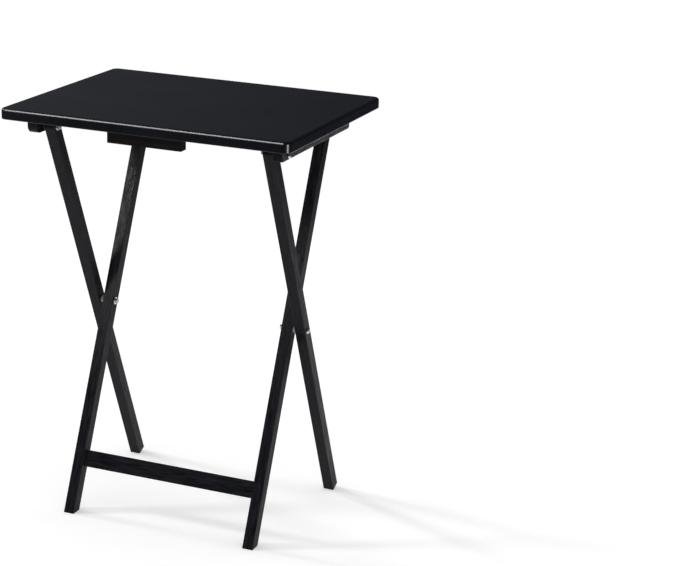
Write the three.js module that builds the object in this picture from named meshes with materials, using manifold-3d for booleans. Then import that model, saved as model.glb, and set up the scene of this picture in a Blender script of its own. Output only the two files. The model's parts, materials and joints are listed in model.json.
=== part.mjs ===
// Folding tray table: a wooden top on two pairs of legs that cross like scissors.
// The outer pair is hinged to cleats under the front of the top. The inner pair carries a round rail
// that a hooked block under the rear of the top drops over. Millimetres, +X along the top's long side,
// +Y to the rear, +Z up, with the origin on the floor under the middle of the top.
import * as THREE from "three";
import { mergeVertices } from "three/addons/utils/BufferGeometryUtils.js";
import Module from "manifold-3d";

const wasm = await Module();
wasm.setup();

// ---- Top board ----
const TABLE_HEIGHT = 675; // floor to the upper face
const TOP_LENGTH = 483;
const TOP_DEPTH = 366;
const TOP_THICKNESS = 17;
const TOP_CORNER_RADIUS = 12; // in plan
const TOP_UPPER_ROUND = 4.5; // around the upper edge
const TOP_LOWER_ROUND = 1.5; // around the lower edge

// ---- Scissor frame, seen from the side ----
const FRONT_PIVOT_SETBACK = 63; // front edge of the top to the front pivot axis
const REAR_RAIL_SETBACK = 32.6; // rear edge of the top to the rear rail axis
const PIVOT_DROP = 17.6; // underside of the top to both of those axes
const CROSS_HEIGHT = 323; // crossing bolts above the floor

// ---- Legs ----
const LEG_DEPTH = 18.4; // seen from the side, across the leg
const LEG_WIDTH = 18; // along X
const LEG_EDGE_ROUND = 1;

// ---- Cleats under the ends of the top, and the gaps between the layers of wood ----
const CLEAT_INSET = 27; // end of the top to the outer face of its cleat
const CLEAT_WIDTH = 16;
const CLEAT_BELOW_PIVOT = { left: 9, right: 6 }; // front pivot axis to the lower faces
const CLEAT_FRONT_REACH = 24.5; // front pivot axis to the front end of the cleat
const CLEAT_REAR_SETBACK = 66.3; // rear edge of the top to the rear end of the cleat
const CLEAT_FRONT_ROUNDS = { left: 11, right: 2.5 }; // lower front corners
const CLEAT_REAR_ROUND = 5; // lower rear corners
const PIVOT_GAP = 5; // cleat to outer leg
const CROSS_GAP = 6; // outer leg to inner leg
const RUNNING_GAP = 0.2; // between faces that slide on each other

// ---- Bolts, spacers, washers and nuts ----
const BOLT_RADIUS = 2.5;
const BOLT_HOLE_GAP = 0.3;
const BOLT_HEAD_RADIUS = 4.8;
const BOLT_HEAD_HEIGHT = 2.8;
const BOLT_STANDOUT = 0.5; // bolt end past its nut
const BOLT_CROSS_LENGTH = 4.6; // arm to arm of the driver recess
const BOLT_CROSS_WIDTH = 1;
const BOLT_CROSS_DEPTH = 1.2;
const THREAD_GAP = 0.12; // bolt to nut, washer or spacer
const SPACER_RADIUS = 6.2;
const WASHER_RADIUS = 6;
const WASHER_THICKNESS = 0.8;
const NUT_ACROSS_FLATS = 8;
const CROSS_NUT_HEIGHT = 4;
const FOLD_GAP = 0.7; // front pivot bolt end to the inner leg that folds past it

// ---- Stretcher and rail between the inner legs ----
const STRETCHER_HEIGHT = 27; // along the leg
const STRETCHER_THICKNESS = 12;
const STRETCHER_FROM_FOOT = 89; // foot to the middle of the stretcher, along the leg
const STRETCHER_EDGE_ROUND = 0.8;
const PIN_RADIUS = 3;
const PIN_LENGTH = 24;
const PIN_SPACING = 14; // between the two pins of one joint
const RAIL_RADIUS = 8;
const TENON_RADIUS = 6;
const TENON_LENGTH = 12;
const SOCKET_GAP = 0.15; // around pins and tenons
const SOCKET_END_GAP = 0.5; // past their ends

// ---- Blocks under the top ----
const HANGER_LENGTH = 124;
const HANGER_DEPTH = 17;
const HANGER_HEIGHT = 19.5;
const HANGER_SETBACK = 13; // front edge of the top to the block
const BLOCK_EDGE_ROUND = 0.8;
const HOOK_LENGTH = 90;
const HOOK_RAIL_GAP = 0.4;
const HOOK_WALL_FRONT = 14;
const HOOK_WALL_REAR = 10;
const HOOK_FRONT_STOP = 5; // end of the front wall, above the rail axis
const HOOK_REAR_REACH = 6; // end of the rear lip, below the rail axis

// ---- Wood screws, driven upwards into the top ----
const SCREW_RADIUS = 1.9;
const SCREW_HEAD_RADIUS = 3.8;
const SCREW_HEAD_HEIGHT = 2.6;
const SCREW_BITE = 10; // length in the top
const SCREW_POINT = 3;
const SCREW_GAP = 0.15;
const CLEAT_SCREW_FRONT = 60; // front end of the cleat to its first screw
const CLEAT_SCREW_REAR = 26; // rear end of the cleat to its last screw
const HANGER_SCREW_INSET = 25; // from the ends of the block
const HOOK_SCREW_INSET = 16;

// ---- Derived places ----
const UNDERSIDE_Z = TABLE_HEIGHT - TOP_THICKNESS;
const PIVOT_Z = UNDERSIDE_Z - PIVOT_DROP;
const FRONT_PIVOT_Y = -TOP_DEPTH / 2 + FRONT_PIVOT_SETBACK;
const REAR_RAIL_Y = TOP_DEPTH / 2 - REAR_RAIL_SETBACK;
const CROSS_Y = (FRONT_PIVOT_Y + REAR_RAIL_Y) / 2;
const HALF_SPREAD = (REAR_RAIL_Y - FRONT_PIVOT_Y) / 2;
const LEAN = Math.atan2(HALF_SPREAD, PIVOT_Z - CROSS_HEIGHT); // of each leg, from upright
const CROSS_TO_PIVOT = Math.hypot(HALF_SPREAD, PIVOT_Z - CROSS_HEIGHT); // along a leg

const CLEAT_OUTER_X = TOP_LENGTH / 2 - CLEAT_INSET;
const CLEAT_INNER_X = CLEAT_OUTER_X - CLEAT_WIDTH;
const OUTER_LEG_OUTER_X = CLEAT_INNER_X - PIVOT_GAP;
const OUTER_LEG_INNER_X = OUTER_LEG_OUTER_X - LEG_WIDTH;
const INNER_LEG_OUTER_X = OUTER_LEG_INNER_X - CROSS_GAP;
const INNER_LEG_INNER_X = INNER_LEG_OUTER_X - LEG_WIDTH;
const CLEAT_FRONT_Y = FRONT_PIVOT_Y - CLEAT_FRONT_REACH;
const CLEAT_REAR_Y = TOP_DEPTH / 2 - CLEAT_REAR_SETBACK;
const CLEAT_HEIGHTS = {
  left: PIVOT_DROP + CLEAT_BELOW_PIVOT.left,
  right: PIVOT_DROP + CLEAT_BELOW_PIVOT.right,
};
const CLEAT_SCREW_FRONT_Y = CLEAT_FRONT_Y + CLEAT_SCREW_FRONT;
const CLEAT_SCREW_REAR_Y = CLEAT_REAR_Y - CLEAT_SCREW_REAR;
const CLEAT_SCREW_PLACES = {
  front: CLEAT_SCREW_FRONT_Y,
  middle: (CLEAT_SCREW_FRONT_Y + CLEAT_SCREW_REAR_Y) / 2,
  rear: CLEAT_SCREW_REAR_Y,
};

const BOLT_HOLE_RADIUS = BOLT_RADIUS + BOLT_HOLE_GAP;
const PIVOT_NUT_HEIGHT = CROSS_GAP - WASHER_THICKNESS - BOLT_STANDOUT - FOLD_GAP;

const BLACK_TOP = { color: 0x1c1d20, roughness: 0.38, metalness: 0 };
const BLACK_WOOD = { color: 0x131314, roughness: 0.5, metalness: 0 };
const BLOCK_WOOD = { color: 0x1b1513, roughness: 0.6, metalness: 0 };
const PALE_WOOD = { color: 0xb8935f, roughness: 0.7, metalness: 0 };
const BRIGHT_STEEL = { color: 0xc9cacc, roughness: 0.25, metalness: 1 };
const DARK_STEEL = { color: 0x2b2b2d, roughness: 0.4, metalness: 1 };
const PALE_NYLON = { color: 0xcfcfc8, roughness: 0.5, metalness: 0 };
const BLACK_NYLON = { color: 0x161617, roughness: 0.5, metalness: 0 };

const SIDES = [
  { name: "left", sign: -1 },
  { name: "right", sign: 1 },
];
const X_FROM_SHAPE = new THREE.Matrix4().makeBasis(
  new THREE.Vector3(0, 1, 0),
  new THREE.Vector3(0, 0, 1),
  new THREE.Vector3(1, 0, 0),
);

// A closed geometry as a manifold solid.
function solid(geometry) {
  const bare = new THREE.BufferGeometry();
  bare.setAttribute("position", geometry.getAttribute("position"));
  bare.setIndex(geometry.index);
  const merged = mergeVertices(bare, 1e-4);
  return new wasm.Manifold(
    new wasm.Mesh({
      numProp: 3,
      vertProperties: merged.getAttribute("position").array,
      triVerts: new Uint32Array(merged.index.array),
    }),
  );
}

// A manifold solid as a flat-shaded geometry.
function geometryOf(body) {
  const mesh = body.getMesh();
  const geometry = new THREE.BufferGeometry();
  geometry.setAttribute("position", new THREE.BufferAttribute(mesh.vertProperties, 3));
  geometry.setIndex(new THREE.BufferAttribute(mesh.triVerts, 1));
  const flat = geometry.toNonIndexed();
  flat.computeVertexNormals();
  return flat;
}

// One geometry with others cut out of it.
function cut(geometry, cutters) {
  return geometryOf(cutters.reduce((body, cutter) => body.subtract(solid(cutter)), solid(geometry)));
}

function piece(name, geometry, finish) {
  const mesh = new THREE.Mesh(geometry, new THREE.MeshStandardMaterial(finish));
  mesh.name = name;
  return mesh;
}

// A shape drawn in (Y, Z), extruded along X between two places, with its outline edges rounded.
function alongX(shape, xFrom, xTo, round) {
  const geometry = new THREE.ExtrudeGeometry(shape, {
    depth: xTo - xFrom - 2 * round,
    bevelEnabled: round > 0,
    bevelThickness: round,
    bevelSize: round,
    bevelOffset: -round,
    bevelSegments: 2,
    curveSegments: 8,
  });
  geometry.translate(0, 0, xFrom + round);
  return geometry.applyMatrix4(X_FROM_SHAPE);
}

// A round bar along X, about the axis y, z.
function barX(radius, xFrom, xTo, y = 0, z = 0) {
  const geometry = new THREE.CylinderGeometry(radius, radius, xTo - xFrom, 24);
  geometry.rotateZ(-Math.PI / 2);
  return geometry.translate((xFrom + xTo) / 2, y, z);
}

// The two ends of a stretch of X on one side of the table, lowest first.
function onSide(sign, xA, xB) {
  return [sign * xA, sign * xB].sort((a, b) => a - b);
}

function rectangle(yFrom, yTo, zFrom, zTo) {
  return new THREE.Shape([
    new THREE.Vector2(yFrom, zFrom),
    new THREE.Vector2(yTo, zFrom),
    new THREE.Vector2(yTo, zTo),
    new THREE.Vector2(yFrom, zTo),
  ]);
}

// ---- Wood screws ----

function screwGeometry(length, gap) {
  const shank = SCREW_RADIUS + gap;
  const head = SCREW_HEAD_RADIUS + gap;
  const profile = [
    new THREE.Vector2(0, 0),
    new THREE.Vector2(head, 0),
    new THREE.Vector2(shank, SCREW_HEAD_HEIGHT),
    new THREE.Vector2(shank, length - SCREW_POINT),
    new THREE.Vector2(0, length + gap),
  ];
  return new THREE.LatheGeometry(profile, 16).rotateX(Math.PI / 2);
}

// A screw whose head lies flush in the lower face of a piece of the given height under the top.
function screwAt(x, y, height, gap = 0) {
  return screwGeometry(height + SCREW_BITE, gap).translate(x, y, -height);
}

// ---- The top and what is screwed to it; z is 0 at the underside of the board ----

function topOutline() {
  const x = TOP_LENGTH / 2;
  const y = TOP_DEPTH / 2;
  const r = TOP_CORNER_RADIUS;
  const shape = new THREE.Shape();
  shape.moveTo(-x + r, -y);
  shape.lineTo(x - r, -y);
  shape.absarc(x - r, -y + r, r, -Math.PI / 2, 0);
  shape.lineTo(x, y - r);
  shape.absarc(x - r, y - r, r, 0, Math.PI / 2);
  shape.lineTo(-x + r, y);
  shape.absarc(-x + r, y - r, r, Math.PI / 2, Math.PI);
  shape.lineTo(-x, -y + r);
  shape.absarc(-x + r, -y + r, r, Math.PI, 1.5 * Math.PI);
  return shape;
}

function roundedSlab(thickness, round) {
  const geometry = new THREE.ExtrudeGeometry(topOutline(), {
    depth: thickness - 2 * round,
    bevelThickness: round,
    bevelSize: round,
    bevelOffset: -round,
    bevelSegments: 4,
    curveSegments: 6,
  });
  return geometry.translate(0, 0, round);
}

function boardGeometry(screwHoles) {
  const upper = solid(roundedSlab(TOP_THICKNESS, TOP_UPPER_ROUND));
  const lower = solid(roundedSlab(TOP_THICKNESS - TOP_UPPER_ROUND, TOP_LOWER_ROUND));
  return cut(geometryOf(upper.add(lower)), screwHoles);
}

// A strip with its two lower corners rounded, hinge hole and screw holes through it.
function cleatGeometry(sign, height, frontRound, screwHoles) {
  const front = CLEAT_FRONT_Y;
  const rear = CLEAT_REAR_Y;
  const low = -height;
  const shape = new THREE.Shape();
  shape.moveTo(rear, 0);
  shape.lineTo(front, 0);
  shape.lineTo(front, low + frontRound);
  shape.absarc(front + frontRound, low + frontRound, frontRound, Math.PI, 1.5 * Math.PI);
  shape.lineTo(rear - CLEAT_REAR_ROUND, low);
  shape.absarc(rear - CLEAT_REAR_ROUND, low + CLEAT_REAR_ROUND, CLEAT_REAR_ROUND, -Math.PI / 2, 0);
  const [xFrom, xTo] = onSide(sign, CLEAT_INNER_X, CLEAT_OUTER_X);
  const hinge = barX(BOLT_HOLE_RADIUS, xFrom - 1, xTo + 1, FRONT_PIVOT_Y, -PIVOT_DROP);
  return cut(alongX(shape, xFrom, xTo, 0), [hinge, ...screwHoles]);
}

function hangerGeometry(screwHoles) {
  const front = -TOP_DEPTH / 2 + HANGER_SETBACK;
  const shape = rectangle(front, front + HANGER_DEPTH, -HANGER_HEIGHT, 0);
  return cut(alongX(shape, -HANGER_LENGTH / 2, HANGER_LENGTH / 2, BLOCK_EDGE_ROUND), screwHoles);
}

// A block with a round channel for the rail: a short wall in front of it and a long lip behind it.
function hookGeometry(screwHoles) {
  const y = REAR_RAIL_Y;
  const z = -PIVOT_DROP;
  const r = RAIL_RADIUS + HOOK_RAIL_GAP;
  const frontAngle = Math.PI - Math.asin(HOOK_FRONT_STOP / r);
  const shape = new THREE.Shape();
  shape.moveTo(y - r - HOOK_WALL_FRONT, 0);
  shape.lineTo(y - r - HOOK_WALL_FRONT, z + HOOK_FRONT_STOP);
  shape.absarc(y, z, r, frontAngle, 0, true);
  shape.lineTo(y + r, z - HOOK_REAR_REACH);
  shape.lineTo(y + r + HOOK_WALL_REAR, z - HOOK_REAR_REACH);
  shape.lineTo(y + r + HOOK_WALL_REAR, 0);
  return cut(alongX(shape, -HOOK_LENGTH / 2, HOOK_LENGTH / 2, 0), screwHoles);
}

function makeTop() {
  const group = new THREE.Group();
  group.position.z = UNDERSIDE_Z;
  const boardHoles = [];

  for (const { name, sign } of SIDES) {
    const x = (sign * (CLEAT_INNER_X + CLEAT_OUTER_X)) / 2;
    const height = CLEAT_HEIGHTS[name];
    const holes = [];
    for (const [place, y] of Object.entries(CLEAT_SCREW_PLACES)) {
      holes.push(screwAt(x, y, height, SCREW_GAP));
      group.add(piece(`${name}_cleat_screw_${place}`, screwAt(x, y, height), DARK_STEEL));
    }
    const cleat = cleatGeometry(sign, height, CLEAT_FRONT_ROUNDS[name], holes);
    group.add(piece(`${name}_cleat`, cleat, BLACK_WOOD));
    boardHoles.push(...holes);
  }

  const hangerY = (-TOP_DEPTH + HANGER_DEPTH) / 2 + HANGER_SETBACK;
  const hookY = REAR_RAIL_Y - RAIL_RADIUS - HOOK_RAIL_GAP - HOOK_WALL_FRONT / 2;
  const hookHeight = PIVOT_DROP - HOOK_FRONT_STOP;
  const blocks = [
    {
      name: "hanger_block",
      make: hangerGeometry,
      finish: BLOCK_WOOD,
      x: HANGER_LENGTH / 2 - HANGER_SCREW_INSET,
      y: hangerY,
      height: HANGER_HEIGHT,
    },
    {
      name: "hook_block",
      make: hookGeometry,
      finish: BLACK_WOOD,
      x: HOOK_LENGTH / 2 - HOOK_SCREW_INSET,
      y: hookY,
      height: hookHeight,
    },
  ];
  for (const block of blocks) {
    const holes = [];
    for (const { name, sign } of SIDES) {
      const x = sign * block.x;
      holes.push(screwAt(x, block.y, block.height, SCREW_GAP));
      const screw = screwAt(x, block.y, block.height);
      group.add(piece(`${block.name}_screw_${name}`, screw, DARK_STEEL));
    }
    group.add(piece(block.name, block.make(holes), block.finish));
    boardHoles.push(...holes);
  }

  group.add(piece("tabletop", boardGeometry(boardHoles), BLACK_TOP));
  return group;
}

// ---- Legs; in their own frames z runs up the leg from the crossing bolt and y across it ----

// A leg with a round top end, and a foot cut through two points at its front and rear edges.
function legGeometry(sign, xInner, xOuter, footFrontZ, footRearZ, cutters) {
  const half = LEG_DEPTH / 2;
  const shape = new THREE.Shape();
  shape.moveTo(-half, footFrontZ);
  shape.lineTo(half, footRearZ);
  shape.lineTo(half, CROSS_TO_PIVOT);
  shape.absarc(0, CROSS_TO_PIVOT, half, 0, Math.PI);
  const [xFrom, xTo] = onSide(sign, xInner, xOuter);
  const crossHole = barX(BOLT_HOLE_RADIUS, xFrom - 1, xTo + 1);
  return cut(alongX(shape, xFrom, xTo, LEG_EDGE_ROUND), [crossHole, ...cutters]);
}

function outerLegGeometry(sign) {
  const footZ = ((LEG_DEPTH / 2) * Math.sin(LEAN) - CROSS_HEIGHT) / Math.cos(LEAN);
  const [xFrom, xTo] = onSide(sign, OUTER_LEG_INNER_X, OUTER_LEG_OUTER_X);
  const pivotHole = barX(BOLT_HOLE_RADIUS, xFrom - 1, xTo + 1, 0, CROSS_TO_PIVOT);
  return legGeometry(sign, OUTER_LEG_INNER_X, OUTER_LEG_OUTER_X, footZ, footZ, [pivotHole]);
}

function footCentreZ() {
  return -CROSS_HEIGHT / Math.cos(LEAN);
}

function innerLegGeometry(sign) {
  const rise = (LEG_DEPTH / 2) * Math.tan(LEAN);
  const tenonEnd = INNER_LEG_INNER_X + TENON_LENGTH + SOCKET_END_GAP;
  const pinEnd = INNER_LEG_INNER_X + PIN_LENGTH / 2 + SOCKET_END_GAP;
  const tenonRange = onSide(sign, INNER_LEG_INNER_X - 1, tenonEnd);
  const pinRange = onSide(sign, INNER_LEG_INNER_X - 1, pinEnd);
  const sockets = [barX(TENON_RADIUS + SOCKET_GAP, ...tenonRange, 0, CROSS_TO_PIVOT)];
  for (const z of pinPlaces()) {
    sockets.push(barX(PIN_RADIUS + SOCKET_GAP, ...pinRange, 0, z));
  }
  const foot = footCentreZ();
  return legGeometry(sign, INNER_LEG_INNER_X, INNER_LEG_OUTER_X, foot - rise, foot + rise, sockets);
}

// ---- Fastenings along X, on the right-hand side of a pivot whose axis is x ----

function boltGeometry(headX, endX) {
  const r = BOLT_HEAD_RADIUS;
  const h = BOLT_HEAD_HEIGHT;
  const profile = [
    new THREE.Vector2(0, endX),
    new THREE.Vector2(BOLT_RADIUS, endX),
    new THREE.Vector2(BOLT_RADIUS, headX),
    new THREE.Vector2(r, headX),
    new THREE.Vector2(r, headX + h * 0.35),
    new THREE.Vector2(r * 0.82, headX + h * 0.78),
    new THREE.Vector2(r * 0.5, headX + h * 0.96),
    new THREE.Vector2(0, headX + h),
  ];
  const bolt = new THREE.LatheGeometry(profile, 20).rotateZ(-Math.PI / 2);
  const arms = [
    new THREE.BoxGeometry(2 * BOLT_CROSS_DEPTH, BOLT_CROSS_LENGTH, BOLT_CROSS_WIDTH),
    new THREE.BoxGeometry(2 * BOLT_CROSS_DEPTH, BOLT_CROSS_WIDTH, BOLT_CROSS_LENGTH),
  ];
  return cut(bolt, arms.map((arm) => arm.translate(headX + h, 0, 0)));
}

function ringGeometry(radius, xFrom, xTo) {
  const bore = barX(BOLT_RADIUS + THREAD_GAP, xFrom - 1, xTo + 1);
  return cut(barX(radius, xFrom, xTo), [bore]);
}

function nutGeometry(xFrom, xTo) {
  const radius = NUT_ACROSS_FLATS / Math.sqrt(3);
  const hexagon = new THREE.CylinderGeometry(radius, radius, xTo - xFrom, 6);
  hexagon.rotateZ(-Math.PI / 2);
  hexagon.translate((xFrom + xTo) / 2, 0, 0);
  return cut(hexagon, [barX(BOLT_RADIUS + THREAD_GAP, xFrom - 1, xTo + 1)]);
}

// One bolt with its spacer, washer and nut, as a group turned to its side of the table.
function fastening(prefix, sign, places) {
  const group = new THREE.Group();
  group.rotation.z = sign < 0 ? Math.PI : 0;
  const washerX = places.seat - WASHER_THICKNESS;
  const nutX = washerX - places.nutHeight;
  group.add(piece(`${prefix}_bolt`, boltGeometry(places.head, nutX - BOLT_STANDOUT), BRIGHT_STEEL));
  const spacer = ringGeometry(SPACER_RADIUS, ...places.spacer);
  group.add(piece(`${prefix}_spacer`, spacer, places.spacerFinish));
  group.add(piece(`${prefix}_washer`, ringGeometry(WASHER_RADIUS, washerX, places.seat), BRIGHT_STEEL));
  group.add(piece(`${prefix}_nut`, nutGeometry(nutX, washerX), BRIGHT_STEEL));
  return group;
}

function makeOuterFrame() {
  const group = new THREE.Group();
  group.position.set(0, CROSS_Y, CROSS_HEIGHT);
  group.rotation.x = LEAN;
  for (const { name, sign } of SIDES) {
    group.add(piece(`${name}_outer_leg`, outerLegGeometry(sign), BLACK_WOOD));
    const pivot = fastening(`${name}_pivot`, sign, {
      head: CLEAT_OUTER_X + RUNNING_GAP,
      spacer: [OUTER_LEG_OUTER_X, CLEAT_INNER_X - RUNNING_GAP],
      spacerFinish: BLACK_NYLON,
      seat: OUTER_LEG_INNER_X,
      nutHeight: PIVOT_NUT_HEIGHT,
    });
    pivot.position.z = CROSS_TO_PIVOT;
    const cross = fastening(`${name}_cross`, sign, {
      head: OUTER_LEG_OUTER_X,
      spacer: [INNER_LEG_OUTER_X + RUNNING_GAP, OUTER_LEG_INNER_X],
      spacerFinish: PALE_NYLON,
      seat: INNER_LEG_INNER_X - RUNNING_GAP,
      nutHeight: CROSS_NUT_HEIGHT,
    });
    group.add(pivot, cross);
  }
  return group;
}

// ---- Inner frame: stretcher on pins, and the rail ----

function stretcherZ() {
  return footCentreZ() + STRETCHER_FROM_FOOT;
}

function pinPlaces() {
  return [stretcherZ() - PIN_SPACING / 2, stretcherZ() + PIN_SPACING / 2];
}

function stretcherGeometry() {
  const half = STRETCHER_THICKNESS / 2;
  const x = INNER_LEG_INNER_X;
  const low = stretcherZ() - STRETCHER_HEIGHT / 2;
  const shape = rectangle(-half, half, low, low + STRETCHER_HEIGHT);
  const sockets = [];
  for (const z of pinPlaces()) {
    for (const { sign } of SIDES) {
      const range = onSide(sign, x - PIN_LENGTH / 2 - SOCKET_END_GAP, x + 1);
      sockets.push(barX(PIN_RADIUS + SOCKET_GAP, ...range, 0, z));
    }
  }
  return cut(alongX(shape, -x, x, STRETCHER_EDGE_ROUND), sockets);
}

function railGeometry() {
  const x = INNER_LEG_INNER_X;
  const profile = [
    new THREE.Vector2(0, -x - TENON_LENGTH),
    new THREE.Vector2(TENON_RADIUS, -x - TENON_LENGTH),
    new THREE.Vector2(TENON_RADIUS, -x),
    new THREE.Vector2(RAIL_RADIUS, -x),
    new THREE.Vector2(RAIL_RADIUS, x),
    new THREE.Vector2(TENON_RADIUS, x),
    new THREE.Vector2(TENON_RADIUS, x + TENON_LENGTH),
    new THREE.Vector2(0, x + TENON_LENGTH),
  ];
  const rail = new THREE.LatheGeometry(profile, 32).rotateZ(-Math.PI / 2);
  return rail.translate(0, 0, CROSS_TO_PIVOT);
}

function makeInnerFrame() {
  const group = new THREE.Group();
  group.position.set(0, CROSS_Y, CROSS_HEIGHT);
  group.rotation.x = -LEAN;
  for (const { name, sign } of SIDES) {
    group.add(piece(`${name}_inner_leg`, innerLegGeometry(sign), BLACK_WOOD));
    const pinX = sign * INNER_LEG_INNER_X;
    pinPlaces().forEach((z, index) => {
      const pin = barX(PIN_RADIUS, pinX - PIN_LENGTH / 2, pinX + PIN_LENGTH / 2, 0, z);
      group.add(piece(`${name}_stretcher_pin_${index ? "upper" : "lower"}`, pin, PALE_WOOD));
    });
  }
  group.add(piece("stretcher", stretcherGeometry(), BLACK_WOOD));
  group.add(piece("rear_rail", railGeometry(), BLACK_WOOD));
  return group;
}

const table = new THREE.Group();
table.add(makeTop(), makeOuterFrame(), makeInnerFrame());

export default table;
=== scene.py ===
"""The folding tray table as it is seen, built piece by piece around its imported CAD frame."""

import json
import logging
import math
from collections.abc import Callable, Iterable, Sequence
from dataclasses import dataclass, field
from enum import Enum

import bmesh
import bpy
from mathutils import Matrix, Vector

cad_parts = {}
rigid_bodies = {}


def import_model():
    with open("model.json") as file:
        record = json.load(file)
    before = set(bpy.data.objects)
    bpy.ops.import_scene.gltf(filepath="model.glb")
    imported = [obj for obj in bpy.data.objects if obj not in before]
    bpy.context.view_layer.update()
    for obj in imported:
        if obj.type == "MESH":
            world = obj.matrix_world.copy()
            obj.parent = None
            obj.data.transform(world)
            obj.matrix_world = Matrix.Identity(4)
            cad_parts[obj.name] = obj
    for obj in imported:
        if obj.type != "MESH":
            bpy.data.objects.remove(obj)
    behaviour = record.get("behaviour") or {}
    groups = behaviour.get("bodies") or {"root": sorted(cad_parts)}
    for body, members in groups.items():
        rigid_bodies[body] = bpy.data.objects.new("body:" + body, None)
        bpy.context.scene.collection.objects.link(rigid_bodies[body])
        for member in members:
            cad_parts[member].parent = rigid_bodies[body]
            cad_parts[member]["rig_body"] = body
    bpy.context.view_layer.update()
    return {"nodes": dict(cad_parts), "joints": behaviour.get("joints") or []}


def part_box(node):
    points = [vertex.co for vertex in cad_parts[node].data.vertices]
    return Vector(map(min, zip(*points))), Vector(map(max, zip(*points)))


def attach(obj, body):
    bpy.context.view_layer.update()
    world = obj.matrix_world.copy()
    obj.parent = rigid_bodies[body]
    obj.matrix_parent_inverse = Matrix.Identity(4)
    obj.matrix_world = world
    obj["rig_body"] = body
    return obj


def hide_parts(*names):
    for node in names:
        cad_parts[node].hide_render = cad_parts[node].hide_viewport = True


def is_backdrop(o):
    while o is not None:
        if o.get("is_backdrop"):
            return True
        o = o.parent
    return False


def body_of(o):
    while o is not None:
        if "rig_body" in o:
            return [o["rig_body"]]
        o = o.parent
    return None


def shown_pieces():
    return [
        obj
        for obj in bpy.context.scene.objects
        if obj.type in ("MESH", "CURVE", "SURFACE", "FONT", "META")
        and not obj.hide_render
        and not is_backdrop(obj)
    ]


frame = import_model()

MM = 0.001
SAME_PLACE = 1e-6  # places closer than this are the same
WELD = 1e-7  # corners of a cut shape closer than this are joined
PAST_A_FACE = 1.0 * MM  # how far a cutter reaches past the face that it opens
HOLE_STEPS = 24  # faces round a bolt hole or a pin
SMALL_PART_SHARPNESS = 30.0  # degrees, the angle that still looks sharp on screws and bolts
FULL = (0.0, 1.0)  # a mask's whole range
LOG = logging.getLogger("tray_table")

Point = tuple[float, float, float]
Colour = tuple[float, float, float]
Profile = Sequence[tuple[float, float]]
Shape = bmesh.types.BMesh
Edge = bmesh.types.BMEdge
Node = bpy.types.Node
Socket = bpy.types.NodeSocket
Material = bpy.types.Material


# ---- Where things are ----


class Body(Enum):
    """The three parts of the table that move as one."""

    OUTER = "outer_frame"
    INNER = "inner_frame"
    TOP = "top"


class Side(Enum):
    """The two ends of the table, seen from the front."""

    LEFT = -1
    RIGHT = 1

    @property
    def word(self) -> str:
        """The side's name as the frame's nodes spell it."""
        return self.name.lower()


@dataclass(frozen=True)
class Layout:
    """The axes that the legs are laid out on, taken from the frame's joints.

    Attributes:
        cross: A point on the axis of the crossing bolts.
        pivot: A point on the axis of the bolts between the top and the outer legs.
    """

    cross: Vector
    pivot: Vector

    @classmethod
    def from_frame(cls) -> "Layout":
        """Reads both axes.

        Returns:
            The layout.
        """
        places = {joint["name"]: Vector(joint["pos_m"]) for joint in frame["joints"]}
        return cls(cross=places["leg_fold"], pivot=places["top_swing"])

    @property
    def lean(self) -> float:
        """How far a leg leans from upright, in radians."""
        span = self.pivot - self.cross
        return math.atan2(-span.y, span.z)

    @property
    def reach(self) -> float:
        """Crossing bolt to the upper end of a leg, along the leg."""
        return (self.pivot - self.cross).length

    def leg_frame(self, body: Body) -> Matrix:
        """A frame on the crossing axis whose Z runs up one pair of legs.

        Args:
            body: The pair of legs.

        Returns:
            The matrix from the legs' own frame to the table's.
        """
        turn = self.lean if body is Body.OUTER else -self.lean
        return Matrix.Translation(self.cross) @ Matrix.Rotation(turn, 4, "X")


# ---- Shaping ----


def new_box(low: Sequence[float], high: Sequence[float]) -> Shape:
    """Makes a closed box.

    Args:
        low: Its lowest corner.
        high: Its highest corner.

    Returns:
        The box.
    """
    shape = bmesh.new()
    bmesh.ops.create_cube(shape, size=1.0)
    low, high = Vector(low), Vector(high)
    bmesh.ops.scale(shape, vec=high - low, verts=shape.verts)
    bmesh.ops.translate(shape, vec=(low + high) / 2, verts=shape.verts)
    return shape


def same(a: float, b: float) -> bool:
    """Whether two places along an axis are the same."""
    return abs(a - b) < SAME_PLACE


def edges_where(shape: Shape, wanted: Callable[[Vector, Vector], bool]) -> list[Edge]:
    """Picks edges by the places of their ends.

    Args:
        shape: The mesh.
        wanted: Says from an edge's two ends whether it is picked.

    Returns:
        The picked edges.
    """
    return [edge for edge in shape.edges if wanted(edge.verts[0].co, edge.verts[1].co)]


def edges_along(shape: Shape, axis: int) -> list[Edge]:
    """Picks the edges that run along one axis.

    Args:
        shape: The mesh.
        axis: 0, 1 or 2 for X, Y or Z.

    Returns:
        The picked edges.
    """

    def runs_along(a: Vector, b: Vector) -> bool:
        """Whether the edge has length along the axis alone."""
        span = b - a
        return same(abs(span[axis]), span.length)

    return edges_where(shape, runs_along)


def round_edges(shape: Shape, edges: Iterable[Edge], radius: float, segments: int) -> None:
    """Rounds edges in place.

    Args:
        shape: The mesh.
        edges: The edges to round.
        radius: The radius of the rounding.
        segments: How many strips of faces it gets.
    """
    bmesh.ops.bevel(
        shape,
        geom=list(edges),
        offset=radius,
        offset_type="OFFSET",
        segments=segments,
        profile=0.5,
        affect="EDGES",
        clamp_overlap=True,
        material=-1,
    )


def sharp_edges(shape: Shape, angle: float = math.radians(50)) -> list[Edge]:
    """Picks the edges between faces that meet at more than an angle.

    Args:
        shape: The mesh.
        angle: The smallest angle that counts as sharp.

    Returns:
        The picked edges.
    """
    return [edge for edge in shape.edges if edge.is_manifold and edge.calc_face_angle(0.0) > angle]


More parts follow.
